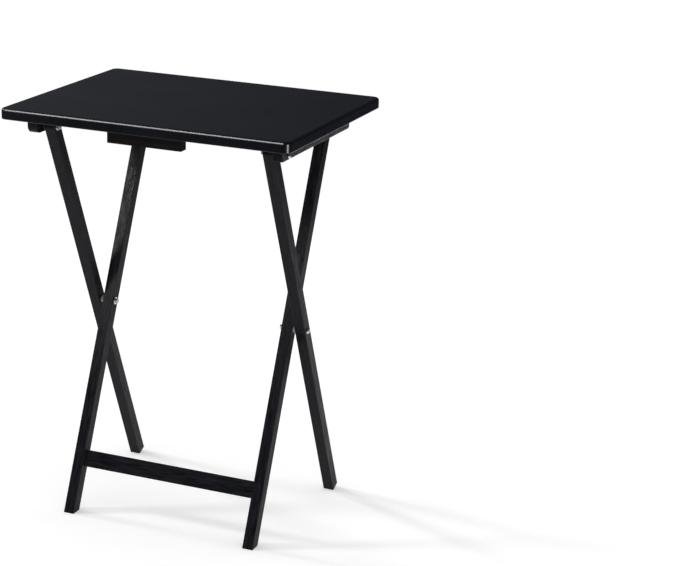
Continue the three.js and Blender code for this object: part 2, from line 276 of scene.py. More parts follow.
def turned_along_x(profile: Profile, axis: Vector, steps: int) -> Shape:
    """Turns a profile about a line along X, as on a lathe.

    Args:
        profile: (x, radius) pairs, which start and end on the line or close on themselves.
        axis: A point on the line.
        steps: How many faces go round.

    Returns:
        The closed turned shape.
    """
    shape = bmesh.new()
    verts = [shape.verts.new((x, 0.0, radius)) for x, radius in profile]
    edges = [shape.edges.new(pair) for pair in zip(verts, verts[1:])]
    if profile[0][1] > 0:
        edges.append(shape.edges.new((verts[-1], verts[0])))
    bmesh.ops.spin(
        shape,
        geom=verts + edges,
        cent=(0, 0, 0),
        axis=(1, 0, 0),
        angle=math.tau,
        steps=steps,
        use_merge=True,
    )
    bmesh.ops.remove_doubles(shape, verts=shape.verts, dist=SAME_PLACE)
    bmesh.ops.recalc_face_normals(shape, faces=shape.faces)
    bmesh.ops.translate(shape, vec=(0, axis.y, axis.z), verts=shape.verts)
    return shape


def rod_along_x(x_from: float, x_to: float, radius: float, axis: Vector, steps: int = 32) -> Shape:
    """Makes a plain round rod along X.

    Args:
        x_from: One end.
        x_to: The other end.
        radius: The rod's radius.
        axis: A point on its axis.
        steps: How many faces go round.

    Returns:
        The closed rod.
    """
    low, high = min(x_from, x_to), max(x_from, x_to)
    return turned_along_x([(low, 0), (low, radius), (high, radius), (high, 0)], axis, steps)


def temporary_object(shape: Shape) -> bpy.types.Object:
    """Puts a shape in the scene for a modifier to work on.

    Args:
        shape: The shape, which is freed.

    Returns:
        The object that now holds it.
    """
    mesh = bpy.data.meshes.new("temporary")
    shape.to_mesh(mesh)
    shape.free()
    made = bpy.data.objects.new("temporary", mesh)
    bpy.context.scene.collection.objects.link(made)
    return made


class Combining(Enum):
    """The ways that closed shapes are combined, as the Boolean modifier names them."""

    CUT_OUT = "DIFFERENCE"
    KEEP_SHARED = "INTERSECT"


def combined(
    shape: Shape,
    others: Iterable[Shape],
    way: Combining = Combining.CUT_OUT,
) -> Shape:
    """Cuts closed shapes out of a closed shape, or keeps what they share.

    Args:
        shape: The shape that is kept.
        others: The shapes that it is combined with, one after another.
        way: How they are combined.

    Returns:
        The new shape. The ones given are freed.
    """
    body = temporary_object(shape)
    tools = [temporary_object(other) for other in others]
    for tool in tools:
        modifier = body.modifiers.new("combine", "BOOLEAN")
        modifier.object = tool
        modifier.operation = way.value
        modifier.solver = "EXACT"
    bpy.context.view_layer.update()
    evaluated = body.evaluated_get(bpy.context.evaluated_depsgraph_get())
    made = bmesh.new()
    made.from_mesh(evaluated.to_mesh())
    evaluated.to_mesh_clear()
    for item in [body, *tools]:
        mesh = item.data
        bpy.data.objects.remove(item)
        bpy.data.meshes.remove(mesh)
    bmesh.ops.remove_doubles(made, verts=made.verts, dist=WELD)
    return made


# ---- Shader nodes ----


class Bench:
    """Adds nodes to one node tree and links them."""

    def __init__(self, tree: bpy.types.NodeTree) -> None:
        """Starts on an empty tree."""
        self.tree = tree
        tree.nodes.clear()

    def add(self, kind: str, **settings: object) -> Node:
        """Adds a node.

        Args:
            kind: The node's type name.
            **settings: Its properties.

        Returns:
            The node.
        """
        node = self.tree.nodes.new(kind)
        for name, value in settings.items():
            setattr(node, name, value)
        return node

    def put(self, socket: Socket, value: object) -> None:
        """Links an input socket to an output socket, or sets it.

        Args:
            socket: The input.
            value: A number, a vector, a colour or an output socket.
        """
        if isinstance(value, Socket):
            self.tree.links.new(value, socket)
        else:
            socket.default_value = value

    def feed(self, node: Node, **values: object) -> None:
        """Sets or links input sockets, whose names are given with _ for a space.

        Args:
            node: The node.
            **values: A number, a vector, a colour or an output socket for each input.
        """
        for name, value in values.items():
            self.put(node.inputs[name.replace("_", " ")], value)

    def math(self, operation: str, *values: object, clamp: bool = False) -> Socket:
        """Adds a Math node.

        Args:
            operation: What it does.
            *values: Numbers or output sockets.
            clamp: Whether the result is held between 0 and 1.

        Returns:
            Its output.
        """
        node = self.add("ShaderNodeMath", operation=operation, use_clamp=clamp)
        for socket, value in zip(node.inputs, values):
            self.put(socket, value)
        return node.outputs[0]

    def vector_math(self, operation: str, *values: object) -> Node:
        """Adds a Vector Math node.

        Args:
            operation: What it does.
            *values: Vectors or output sockets.

        Returns:
            The node, whose outputs are Vector and Value.
        """
        node = self.add("ShaderNodeVectorMath", operation=operation)
        for socket, value in zip(node.inputs, values):
            self.put(socket, value)
        return node

    def remap(
        self,
        value: Socket,
        source: tuple[float, float],
        target: tuple[float, float] = FULL,
    ) -> Socket:
        """Stretches a range of values over another, held at its ends.

        Args:
            value: The values.
            source: The range they are read in.
            target: The range that it becomes.

        Returns:
            The new values.
        """
        node = self.add("ShaderNodeMapRange")
        self.feed(node, Value=value, From_Min=source[0], From_Max=source[1])
        self.feed(node, To_Min=target[0], To_Max=target[1])
        return node.outputs["Result"]

    def mix(self, factor: Socket, first: object, second: object) -> Socket:
        """Mixes two colours.

        Args:
            factor: How much of the second shows.
            first: A colour or an output socket.
            second: A colour or an output socket.

        Returns:
            The mixed colour.
        """
        node = self.add("ShaderNodeMix", data_type="RGBA")
        self.put(node.inputs["Factor"], factor)
        colour_inputs = [socket for socket in node.inputs if socket.type == "RGBA"]
        for socket, value in zip(colour_inputs, (first, second)):
            self.put(socket, value if isinstance(value, Socket) else (*value, 1.0))
        return next(socket for socket in node.outputs if socket.type == "RGBA")

    def noise(
        self,
        vector: Socket,
        scale: object,
        detail: float,
        roughness: float,
        distortion: object = 0.0,
    ) -> Socket:
        """Adds a Noise texture.

        Args:
            vector: Where it is read.
            scale: How fine it is.
            detail: How many octaves it has.
            roughness: How strong the finer ones are.
            distortion: How much it is swirled.

        Returns:
            Its values, about 0 to 1.
        """
        node = self.add("ShaderNodeTexNoise")
        self.feed(node, Vector=vector, Scale=scale, Distortion=distortion)
        self.feed(node, Detail=detail, Roughness=roughness)
        return node.outputs[0]

    def bump(self, height: Socket, strength: float, distance: float) -> Socket:
        """Adds a Bump node.

        Args:
            height: The relief.
            strength: How strong it is.
            distance: How deep it would be at full strength.

        Returns:
            The bumped normal.
        """
        node = self.add("ShaderNodeBump")
        self.feed(node, Strength=strength, Distance=distance, Height=height)
        return node.outputs[0]

    def use(self, group: bpy.types.NodeTree, **values: object) -> Node:
        """Places a shared node group.

        Args:
            group: The group.
            **values: Its inputs, as in feed.

        Returns:
            The group's node.
        """
        node = self.add("ShaderNodeGroup", node_tree=group)
        self.feed(node, **values)
        return node


def new_group(
    name: str,
    inputs: dict[str, str],
    outputs: dict[str, str],
) -> tuple[Bench, Node, Node]:
    """Starts a shader node group.

    Args:
        name: Its name.
        inputs: The type of each input socket by name.
        outputs: The type of each output socket by name.

    Returns:
        A bench on its tree, the node of its inputs and the node of its outputs.
    """
    tree = bpy.data.node_groups.new(name, "ShaderNodeTree")
    bench = Bench(tree)
    for way, sockets in (("INPUT", inputs), ("OUTPUT", outputs)):
        for socket, kind in sockets.items():
            tree.interface.new_socket(socket, in_out=way, socket_type=kind)
    return bench, bench.add("NodeGroupInput"), bench.add("NodeGroupOutput")


FLOAT = "NodeSocketFloat"
VECTOR = "NodeSocketVector"


class Effects:
    """The effects that several finishes share, each one node group."""

    def __init__(self) -> None:
        """Builds every group once."""
        self.grain = self._grain()
        self.edge_wear = self._edge_wear()
        self.handling = self._handling()
        self.fine_texture = self._fine_texture()

    @staticmethod
    def _grain() -> bpy.types.NodeTree:
        """Wood grain that runs along Z of the vector it is given.

        Returns:
            The group. Streaks are broad bands, Pores are short dark lines and Height is both as relief.
        """
        bench, given, made = new_group(
            "wood_grain",
            {"Vector": VECTOR, "Scale": FLOAT, "Stretch": FLOAT, "Warp": FLOAT},
            {"Streaks": FLOAT, "Pores": FLOAT, "Height": FLOAT},
        )
        along = bench.math("DIVIDE", 1.0, given.outputs["Stretch"])
        squeeze = bench.add("ShaderNodeCombineXYZ")
        bench.feed(squeeze, X=1.0, Y=1.0, Z=along)
        stretched = bench.vector_math("MULTIPLY", given.outputs["Vector"], squeeze.outputs[0]).outputs[0]
        scale = given.outputs["Scale"]
        bands = bench.noise(stretched, scale, detail=4.0, roughness=0.6, distortion=given.outputs["Warp"])
        streaks = bench.remap(bands, source=(0.36, 0.66))
        finer = bench.math("MULTIPLY", scale, 4.5)
        lines = bench.noise(stretched, finer, detail=2.0, roughness=0.5)
        pores = bench.remap(lines, source=(0.57, 0.70))
        ridges = bench.math("MULTIPLY", streaks, 0.4)
        pits = bench.math("MULTIPLY", pores, 0.7)
        height = bench.math("SUBTRACT", ridges, pits)
        bench.feed(made, Streaks=streaks, Pores=pores, Height=height)
        return bench.tree

    @staticmethod
    def _edge_wear() -> bpy.types.NodeTree:
        """Rubbed edges, and a highlight painted along them where a finish mixes the mask to a pale
        colour.

        Returns:
            The group. Mask is 1 on a rounded edge, in patches; Radius is how far in from the edge the
            mask reaches.
        """
        bench, given, made = new_group(
            "edge_wear",
            {"Vector": VECTOR, "Radius": FLOAT, "Patch Scale": FLOAT, "Amount": FLOAT},
            {"Mask": FLOAT},
        )
        rounded = bench.add("ShaderNodeBevel", samples=6)
        bench.feed(rounded, Radius=given.outputs["Radius"])
        true = bench.add("ShaderNodeNewGeometry")
        facing = bench.vector_math("DOT_PRODUCT", rounded.outputs[0], true.outputs["True Normal"])
        edge = bench.remap(facing.outputs["Value"], source=(0.995, 0.86))
        scale = given.outputs["Patch Scale"]
        patches = bench.noise(given.outputs["Vector"], scale, detail=3.0, roughness=0.6)
        kept = bench.remap(patches, source=(0.32, 0.62), target=(0.35, 1.0))
        mask = bench.math("MULTIPLY", edge, kept)
        bench.feed(made, Mask=bench.math("MULTIPLY", mask, given.outputs["Amount"], clamp=True))
        return bench.tree

    @staticmethod
    def _handling() -> bpy.types.NodeTree:
        """Smudges and very fine rubbing marks from use.

        Returns:
            The group. Smudge is a soft mask and Rubbing a fine directional one.
        """
        bench, given, made = new_group(
            "handling_marks",
            {"Vector": VECTOR, "Scale": FLOAT},
            {"Smudge": FLOAT, "Rubbing": FLOAT},
        )
        vector = given.outputs["Vector"]
        scale = given.outputs["Scale"]
        soft = bench.noise(vector, scale, detail=3.0, roughness=0.55, distortion=0.6)
        drawn_out = bench.vector_math("MULTIPLY", vector, (0.12, 1.0, 1.0)).outputs[0]
        finer = bench.math("MULTIPLY", scale, 55.0)
        fine = bench.noise(drawn_out, finer, detail=2.0, roughness=0.6)
        bench.feed(made, Smudge=bench.remap(soft, source=(0.4, 0.68)))
        bench.feed(made, Rubbing=bench.remap(fine, source=(0.45, 0.7)))
        return bench.tree

    @staticmethod
    def _fine_texture() -> bpy.types.NodeTree:
        """The slight unevenness of a sprayed, plated or moulded surface.

        Returns:
            The group. Height goes to a Bump node and Variation is a soft mask.
        """
        bench, given, made = new_group(
            "fine_texture",
            {"Vector": VECTOR, "Scale": FLOAT},
            {"Height": FLOAT, "Variation": FLOAT},
        )
        vector = given.outputs["Vector"]
        scale = given.outputs["Scale"]
        peel = bench.noise(vector, scale, detail=2.0, roughness=0.45)
        coarser = bench.math("MULTIPLY", scale, 0.12)
        slow = bench.noise(vector, coarser, detail=2.0, roughness=0.5)
        bench.feed(made, Height=peel, Variation=bench.remap(slow, source=(0.38, 0.64)))
        return bench.tree


class Grain(Enum):
    """Which way the wood's grain runs in a piece."""

    ALONG_X = "along_x"
    ALONG_Y = "along_y"
    UP_OUTER_LEGS = "up_outer_legs"
    UP_INNER_LEGS = "up_inner_legs"

    def turn(self, layout: Layout) -> Point:
        """The rotation that lays the grain along Z.

        Args:
            layout: The legs' layout.

        Returns:
            Its angles about X, Y and Z.
        """
        quarter = math.pi / 2
        return {
            Grain.ALONG_X: (0.0, -quarter, 0.0),
            Grain.ALONG_Y: (quarter, 0.0, 0.0),
            Grain.UP_OUTER_LEGS: (-layout.lean, 0.0, 0.0),
            Grain.UP_INNER_LEGS: (layout.lean, 0.0, 0.0),
        }[self]


# ---- Finishes ----


@dataclass(frozen=True)
class Workshop:
    """What every finish needs to make its materials.

    Attributes:
        layout: The axes that the legs are laid out on, which the grain follows.
        effects: The shared effects.
    """

    layout: Layout
    effects: Effects

    def start(
        self,
        name: str,
        turn: Point = (0.0, 0.0, 0.0),
    ) -> tuple[Material, Bench, Node, Socket]:
        """Starts a material.

        Args:
            name: Its name.
            turn: How the pattern is turned.

        Returns:
            The material, a bench on its tree, its shader and the coordinates for its patterns.
        """
        material = bpy.data.materials.new(name)
        material.use_nodes = True
        bench = Bench(material.node_tree)
        output = bench.add("ShaderNodeOutputMaterial")
        shader = bench.add("ShaderNodeBsdfPrincipled")
        bench.feed(output, Surface=shader.outputs[0])
        place = bench.add("ShaderNodeTexCoord")
        mapping = bench.add("ShaderNodeMapping")
        bench.feed(mapping, Vector=place.outputs["Object"], Rotation=turn)
        return material, bench, shader, mapping.outputs[0]


@dataclass(frozen=True)
class StainedWood:
    """Stained solid wood under a thin lacquer, its grain just visible.

    Attributes:
        name: The finish's name, which starts the names of its materials.
        dark: The stain's colour.
        light: The colour of the paler streaks.
        worn: The colour of rubbed edges, which also paints a highlight along them.
        gloss: The lowest and highest roughness.
        specular: The lacquer's specular level.
        grain_scale: How fine the grain is across the wood.
        grain_stretch: How long a streak is for its width.
        wear: How strong the rubbing and the painted highlight on the edges are.
        relief: How strong the grain's relief is.
    """

    name: str
    dark: Colour
    light: Colour
    worn: Colour
    gloss: tuple[float, float]
    specular: float
    grain_scale: float
    grain_stretch: float
    wear: float
    relief: float

    def material(self, shop: Workshop, grain: Grain) -> Material:
        """Makes the material for one direction of grain.

        Args:
            shop: The workshop.
            grain: Which way the grain runs.

        Returns:
            The material.
        """
        made, bench, shader, vector = shop.start(f"{self.name}_{grain.value}", grain.turn(shop.layout))
        wood = bench.use(
            shop.effects.grain,
            Vector=vector,
            Scale=self.grain_scale,
            Stretch=self.grain_stretch,
            Warp=0.35,
        )
        wear = bench.use(
            shop.effects.edge_wear,
            Vector=vector,
            Radius=0.9 * MM,
            Patch_Scale=38.0,
            Amount=self.wear,
        )
        marks = bench.use(shop.effects.handling, Vector=vector, Scale=9.0)
        stain = bench.mix(wood.outputs["Streaks"], self.dark, self.light)
        in_pores = bench.math("MULTIPLY", wood.outputs["Pores"], 0.6)
        pored = bench.mix(in_pores, stain, self.dark)
        # Edges are mixed to the pale edge colour: partly rubbed wood, partly a painted highlight along
        # the edges.
        colour = bench.mix(wear.outputs["Mask"], pored, self.worn)
        polish = bench.remap(wood.outputs["Streaks"], FULL, self.gloss)
        smudges = bench.math("MULTIPLY", marks.outputs["Smudge"], 0.06)
        bench.feed(
            shader,
            Base_Color=colour,
            Roughness=bench.math("ADD", polish, smudges),
            Normal=bench.bump(wood.outputs["Height"], self.relief, 0.25 * MM),
            Specular_IOR_Level=self.specular,
        )
        return made


@dataclass(frozen=True)
class BoardLacquer:
    """Satin lacquer over a smooth board, with a trace of the grain under it.

    Attributes:
        name: The finish's name, which is also its material's name.
        colour: The lacquer's colour.
        bloom: The slightly paler colour of the handled patches.
        worn: The paler colour painted on patches of the rounded edges.
        gloss: The lowest and highest roughness.
        specular: The lacquer's specular level.
    """

    name: str
    colour: Colour
    bloom: Colour
    worn: Colour
    gloss: tuple[float, float]
    specular: float

    def material(self, shop: Workshop) -> Material:
        """Makes the material.

        Args:
            shop: The workshop.

        Returns:
            The material.
        """
        made, bench, shader, vector = shop.start(self.name, Grain.ALONG_X.turn(shop.layout))
        wood = bench.use(shop.effects.grain, Vector=vector, Scale=70.0, Stretch=22.0, Warp=0.2)
        marks = bench.use(shop.effects.handling, Vector=vector, Scale=5.0)
        peel = bench.use(shop.effects.fine_texture, Vector=vector, Scale=420.0)
        wear = bench.use(
            shop.effects.edge_wear,
            Vector=vector,
            Radius=1.2 * MM,
            Patch_Scale=20.0,
            Amount=0.35,
        )
        trace = bench.math("MULTIPLY", wood.outputs["Streaks"], 0.45)
        smudges = bench.math("MULTIPLY", marks.outputs["Smudge"], 0.35)
        veil = bench.math("ADD", trace, smudges, clamp=True)
        coat = bench.mix(veil, self.colour, self.bloom)
        # Patches of the rounded edges are mixed to a paler colour.
        colour = bench.mix(wear.outputs["Mask"], coat, self.worn)
        polish = bench.remap(marks.outputs["Smudge"], FULL, self.gloss)
        rubbing = bench.math("MULTIPLY", marks.outputs["Rubbing"], 0.03)
        sunken_grain = bench.math("MULTIPLY", wood.outputs["Height"], 0.5)
        height = bench.math("ADD", peel.outputs["Height"], sunken_grain)
        bench.feed(
            shader,
            Base_Color=colour,
            Roughness=bench.math("ADD", polish, rubbing),
            Normal=bench.bump(height, 0.02, 0.1 * MM),
            Specular_IOR_Level=self.specular,
        )
        return made


@dataclass(frozen=True)
class Metal:
    """Plated or blackened steel.

    Attributes:
        name: The finish's name, which is also its material's name.
        bright: The colour of the clean metal.
        dull: The colour of the hazy patches.
        gloss: The lowest and highest roughness.
    """

    name: str
    bright: Colour
    dull: Colour
    gloss: tuple[float, float]

    def material(self, shop: Workshop) -> Material:
        """Makes the material.

        Args:
            shop: The workshop.

        Returns:
            The material.
        """
        made, bench, shader, vector = shop.start(self.name)
        plate = bench.use(shop.effects.fine_texture, Vector=vector, Scale=1500.0)
        marks = bench.use(shop.effects.handling, Vector=vector, Scale=120.0)
        wear = bench.use(
            shop.effects.edge_wear,
            Vector=vector,
            Radius=0.3 * MM,
            Patch_Scale=400.0,
            Amount=0.8,
        )
        hazy = bench.mix(plate.outputs["Variation"], self.bright, self.dull)
        colour = bench.mix(wear.outputs["Mask"], hazy, self.bright)
        bench.feed(
            shader,
            Base_Color=colour,
            Metallic=1.0,
            Roughness=bench.remap(marks.outputs["Smudge"], FULL, self.gloss),
            Normal=bench.bump(plate.outputs["Height"], 0.08, 0.03 * MM),
        )
        return made


@dataclass(frozen=True)
class Moulding:
    """Plain moulded nylon.

    Attributes:
        name: The finish's name, which is also its material's name.
        fresh: The nylon's colour.
        aged: The colour of its yellowed patches.
        gloss: The lowest and highest roughness.
    """

    name: str
    fresh: Colour
    aged: Colour
    gloss: tuple[float, float]

    def material(self, shop: Workshop) -> Material:
        """Makes the material.

        Args:
            shop: The workshop.

        Returns:
            The material.
        """
        made, bench, shader, vector = shop.start(self.name)
        skin = bench.use(shop.effects.fine_texture, Vector=vector, Scale=900.0)
        colour = bench.mix(skin.outputs["Variation"], self.fresh, self.aged)
        bench.feed(
            shader,
            Base_Color=colour,
            Roughness=bench.remap(skin.outputs["Height"], (0.3, 0.7), self.gloss),
            Normal=bench.bump(skin.outputs["Height"], 0.1, 0.05 * MM),
        )
        return made


BLACK_WOOD = StainedWood(
    name="black_wood",
    dark=(0.0030, 0.0032, 0.0046),
    light=(0.0175, 0.0184, 0.0234),
    # Pale grey edge colour: partly rubbed wood, partly a painted highlight along the legs' edges.
    worn=(0.130, 0.133, 0.146),
    gloss=(0.28, 0.56),
    specular=0.10,
    grain_scale=420.0,
    grain_stretch=14.0,
    wear=1.0,
    relief=0.7,
)
BROWN_BLOCK = StainedWood(
    name="stained_block",
    dark=(0.0030, 0.0025, 0.0024),
    light=(0.0130, 0.0105, 0.0088),
    worn=(0.055, 0.046, 0.038),
    gloss=(0.50, 0.66),
    specular=0.10,
    grain_scale=230.0,
    grain_stretch=12.0,
    wear=0.6,
    relief=0.5,
)
BARE_WOOD = StainedWood(
    name="bare_wood",
    dark=(0.36, 0.22, 0.10),
    light=(0.50, 0.34, 0.18),
    worn=(0.55, 0.40, 0.24),
    gloss=(0.6, 0.75),
    specular=0.3,
    grain_scale=400.0,
    grain_stretch=10.0,
    wear=0.4,
    relief=0.4,
)
BLACK_LACQUER = BoardLacquer(
    name="top_lacquer",
    colour=(0.0028, 0.0032, 0.0060),
    bloom=(0.0058, 0.0063, 0.0098),
    worn=(0.030, 0.032, 0.036),
    gloss=(0.24, 0.31),
    specular=0.15,
)
BRIGHT_STEEL = Metal(
    name="bright_steel",
    bright=(0.78, 0.78, 0.79),
    dull=(0.58, 0.58, 0.60),
    gloss=(0.18, 0.34),
)
DARK_STEEL = Metal(
    name="dark_steel",
    bright=(0.10, 0.10, 0.105),
    dull=(0.05, 0.05, 0.055),
    gloss=(0.35, 0.5),
)
PALE_NYLON = Moulding(
    name="pale_nylon",
    fresh=(0.40, 0.40, 0.38),
    aged=(0.33, 0.32, 0.28),
    gloss=(0.42, 0.58),
)
BLACK_NYLON = Moulding(
    name="black_nylon",
    fresh=(0.006, 0.006, 0.007),
    aged=(0.010, 0.010, 0.011),
    gloss=(0.42, 0.58),
)


# ---- Putting pieces in the scene ----


def add_piece(
    shape: Shape,
    node: str,
    body: Body,
    material: Material,
    smooth_below: float = 40.0,
) -> bpy.types.Object:
    """Turns a finished shape into a piece of the table that stands for its CAD node.

    Args:
        shape: The shape, which is freed.
        node: The CAD node.
        body: The body that it moves with.
        material: Its material.
        smooth_below: Faces that meet at less than this angle, in degrees, are shaded as one.

    Returns:
        The piece.
    """
    name = f"{node}_piece"
    mesh = bpy.data.meshes.new(name)
    shape.to_mesh(mesh)
    shape.free()
    mesh.materials.append(material)
    mesh.polygons.foreach_set("use_smooth", [True] * len(mesh.polygons))
    mesh.set_sharp_from_angle(angle=math.radians(smooth_below))
    piece = bpy.data.objects.new(name, mesh)
    bpy.context.scene.collection.objects.link(piece)
    normals = piece.modifiers.new("even_normals", "WEIGHTED_NORMAL")
    normals.keep_sharp = True
    normals.weight = 100
    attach(piece, body.value)
    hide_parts(node)
    LOG.info("%-32s %6d faces on %s", name, len(mesh.polygons), body.value)
    return piece


def middle_of(node: str) -> Vector:
    """The middle of a CAD node's box."""
    low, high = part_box(node)
    return (low + high) / 2


def radius_of(node: str) -> float:
    """The largest radius of a CAD node that is round about a line along X."""
    low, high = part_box(node)
    return (high.z - low.z) / 2


def hole_through(node: str, radius: float, axis: Vector) -> Shape:
    """Makes the cutter for a hole along X right through a CAD node.

    Args:
        node: The CAD node.
        radius: The hole's radius.
        axis: A point on its axis.

    Returns:
        The cutter.
    """
    low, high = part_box(node)
    return rod_along_x(low.x - PAST_A_FACE, high.x + PAST_A_FACE, radius, axis, HOLE_STEPS)


@dataclass
class CrossRecess:
    """The cross-shaped driver recess in a screw or bolt head.

    Attributes:
        across: Arm to arm at the face of the head.
        arm: The width of an arm.
        depth: How deep it goes.
        span_left: How much of its span is left at the bottom.
        arm_left: How much of an arm's width is left there.
    """

    across: float
    arm: float
    depth: float
    span_left: float = 0.45
    arm_left: float = 0.7

    def cutters(self, face: Vector, inward: Vector) -> list[Shape]:
        """Makes the two tapered blades that cut it.

        Args:
            face: The middle of the head's outer face.
            inward: The direction into the head.

        Returns:
            The two blades.
        """
        blades = []
        turn = inward.to_track_quat("Z", "Y").to_matrix().to_4x4()
        for quarter in (0.0, math.pi / 2):
            blade = new_box(
                (-self.across / 2, -self.arm / 2, -self.depth),
                (self.across / 2, self.arm / 2, self.depth),
            )
            bottom = [vert for vert in blade.verts if vert.co.z > 0]
            bmesh.ops.scale(blade, vec=(self.span_left, self.arm_left, 1.0), verts=bottom)
            place = Matrix.Translation(face) @ turn @ Matrix.Rotation(quarter, 4, "Z")
            bmesh.ops.transform(blade, matrix=place, verts=blade.verts)
            blades.append(blade)
        return blades


# ---- The top ----


@dataclass
class WoodScrew:
    """A countersunk wood screw driven upwards, its head flush with the wood.

    Attributes:
        radius: The shank's radius.
        head_radius: The head's radius.
        head_height: The height of the countersunk head.
        head_rim: The height of the straight rim around it.
        plain_share: How much of the whole length is plain between the head and the thread.
        point: The length of the point.
        gap: The clearance of its hole.
        thread_pitch: From one thread to the next.
        thread_depth: How far the thread stands off the core.
        thread_root: Where the core shows between two threads, in shares of the pitch.
        recess: The driver recess.
        steps: How many faces go round.
    """

    radius: float = 1.9 * MM
    head_radius: float = 3.8 * MM
    head_height: float = 2.6 * MM
    head_rim: float = 0.25 * MM
    plain_share: float = 0.3
    point: float = 3.0 * MM
    gap: float = 0.15 * MM
    thread_pitch: float = 1.4 * MM
    thread_depth: float = 0.45 * MM
    thread_root: tuple[float, float] = (0.35, 0.75)
    recess: CrossRecess = field(default_factory=lambda: CrossRecess(4.2 * MM, 0.9 * MM, 1.5 * MM))
    steps: int = 20

    def profile(self, length: float) -> list[tuple[float, float]]:
        """The screw's outline with its threads as rings.

        Args:
            length: From the face of the head to the tip.

        Returns:
            (height, radius) pairs from the face of the head up.
        """
        height = self.head_height + self.plain_share * length
        core = self.radius - self.thread_depth
        points = [
            (0.0, 0.0),
            (0.0, self.head_radius),
            (self.head_rim, self.head_radius),
            (self.head_height, self.radius),
            (height, self.radius),
        ]
        while height + self.thread_pitch < length - self.point:
            for share in self.thread_root:
                points.append((height + share * self.thread_pitch, core))
            points.append((height + self.thread_pitch, self.radius))
            height += self.thread_pitch
        points.append((length - self.point, core))
        points.append((length, 0.0))
        return points

    def stand_up(self, shape: Shape, place: Vector) -> Shape:
        """Turns a shape made along X to stand along Z at a place.

        Args:
            shape: The shape, changed in place.
            place: Where its start goes.

        Returns:
            The same shape.
        """
        turn = Matrix.Translation(place) @ Matrix.Rotation(-math.pi / 2, 4, "Y")
        bmesh.ops.transform(shape, matrix=turn, verts=shape.verts)
        return shape

    def shape(self, node: str) -> Shape:
        """Makes the screw where its node is.

        Args:
            node: The CAD node.

        Returns:
            The screw.
        """
        low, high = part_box(node)
        foot = Vector((*middle_of(node).xy, low.z))
        length = high.z - low.z
        screw = turned_along_x(self.profile(length), Vector(), self.steps)
        self.stand_up(screw, foot)
        return combined(screw, self.recess.cutters(foot, Vector((0, 0, 1))))

    def hole(self, node: str) -> Shape:
        """Makes the cutter for the screw's hole.

        Args:
            node: The CAD node.

        Returns:
            The cutter, which passes the face of the wood by a little.
        """
        low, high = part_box(node)
        gap = self.gap
        length = high.z - low.z
        profile = [
            (-gap, 0.0),
            (-gap, self.head_radius + 2 * gap),
            (self.head_height, self.radius + gap),
            (length - self.point, self.radius + gap),
            (length + gap, 0.0),
        ]
        cutter = turned_along_x(profile, Vector(), self.steps)
        return self.stand_up(cutter, Vector((*middle_of(node).xy, low.z)))


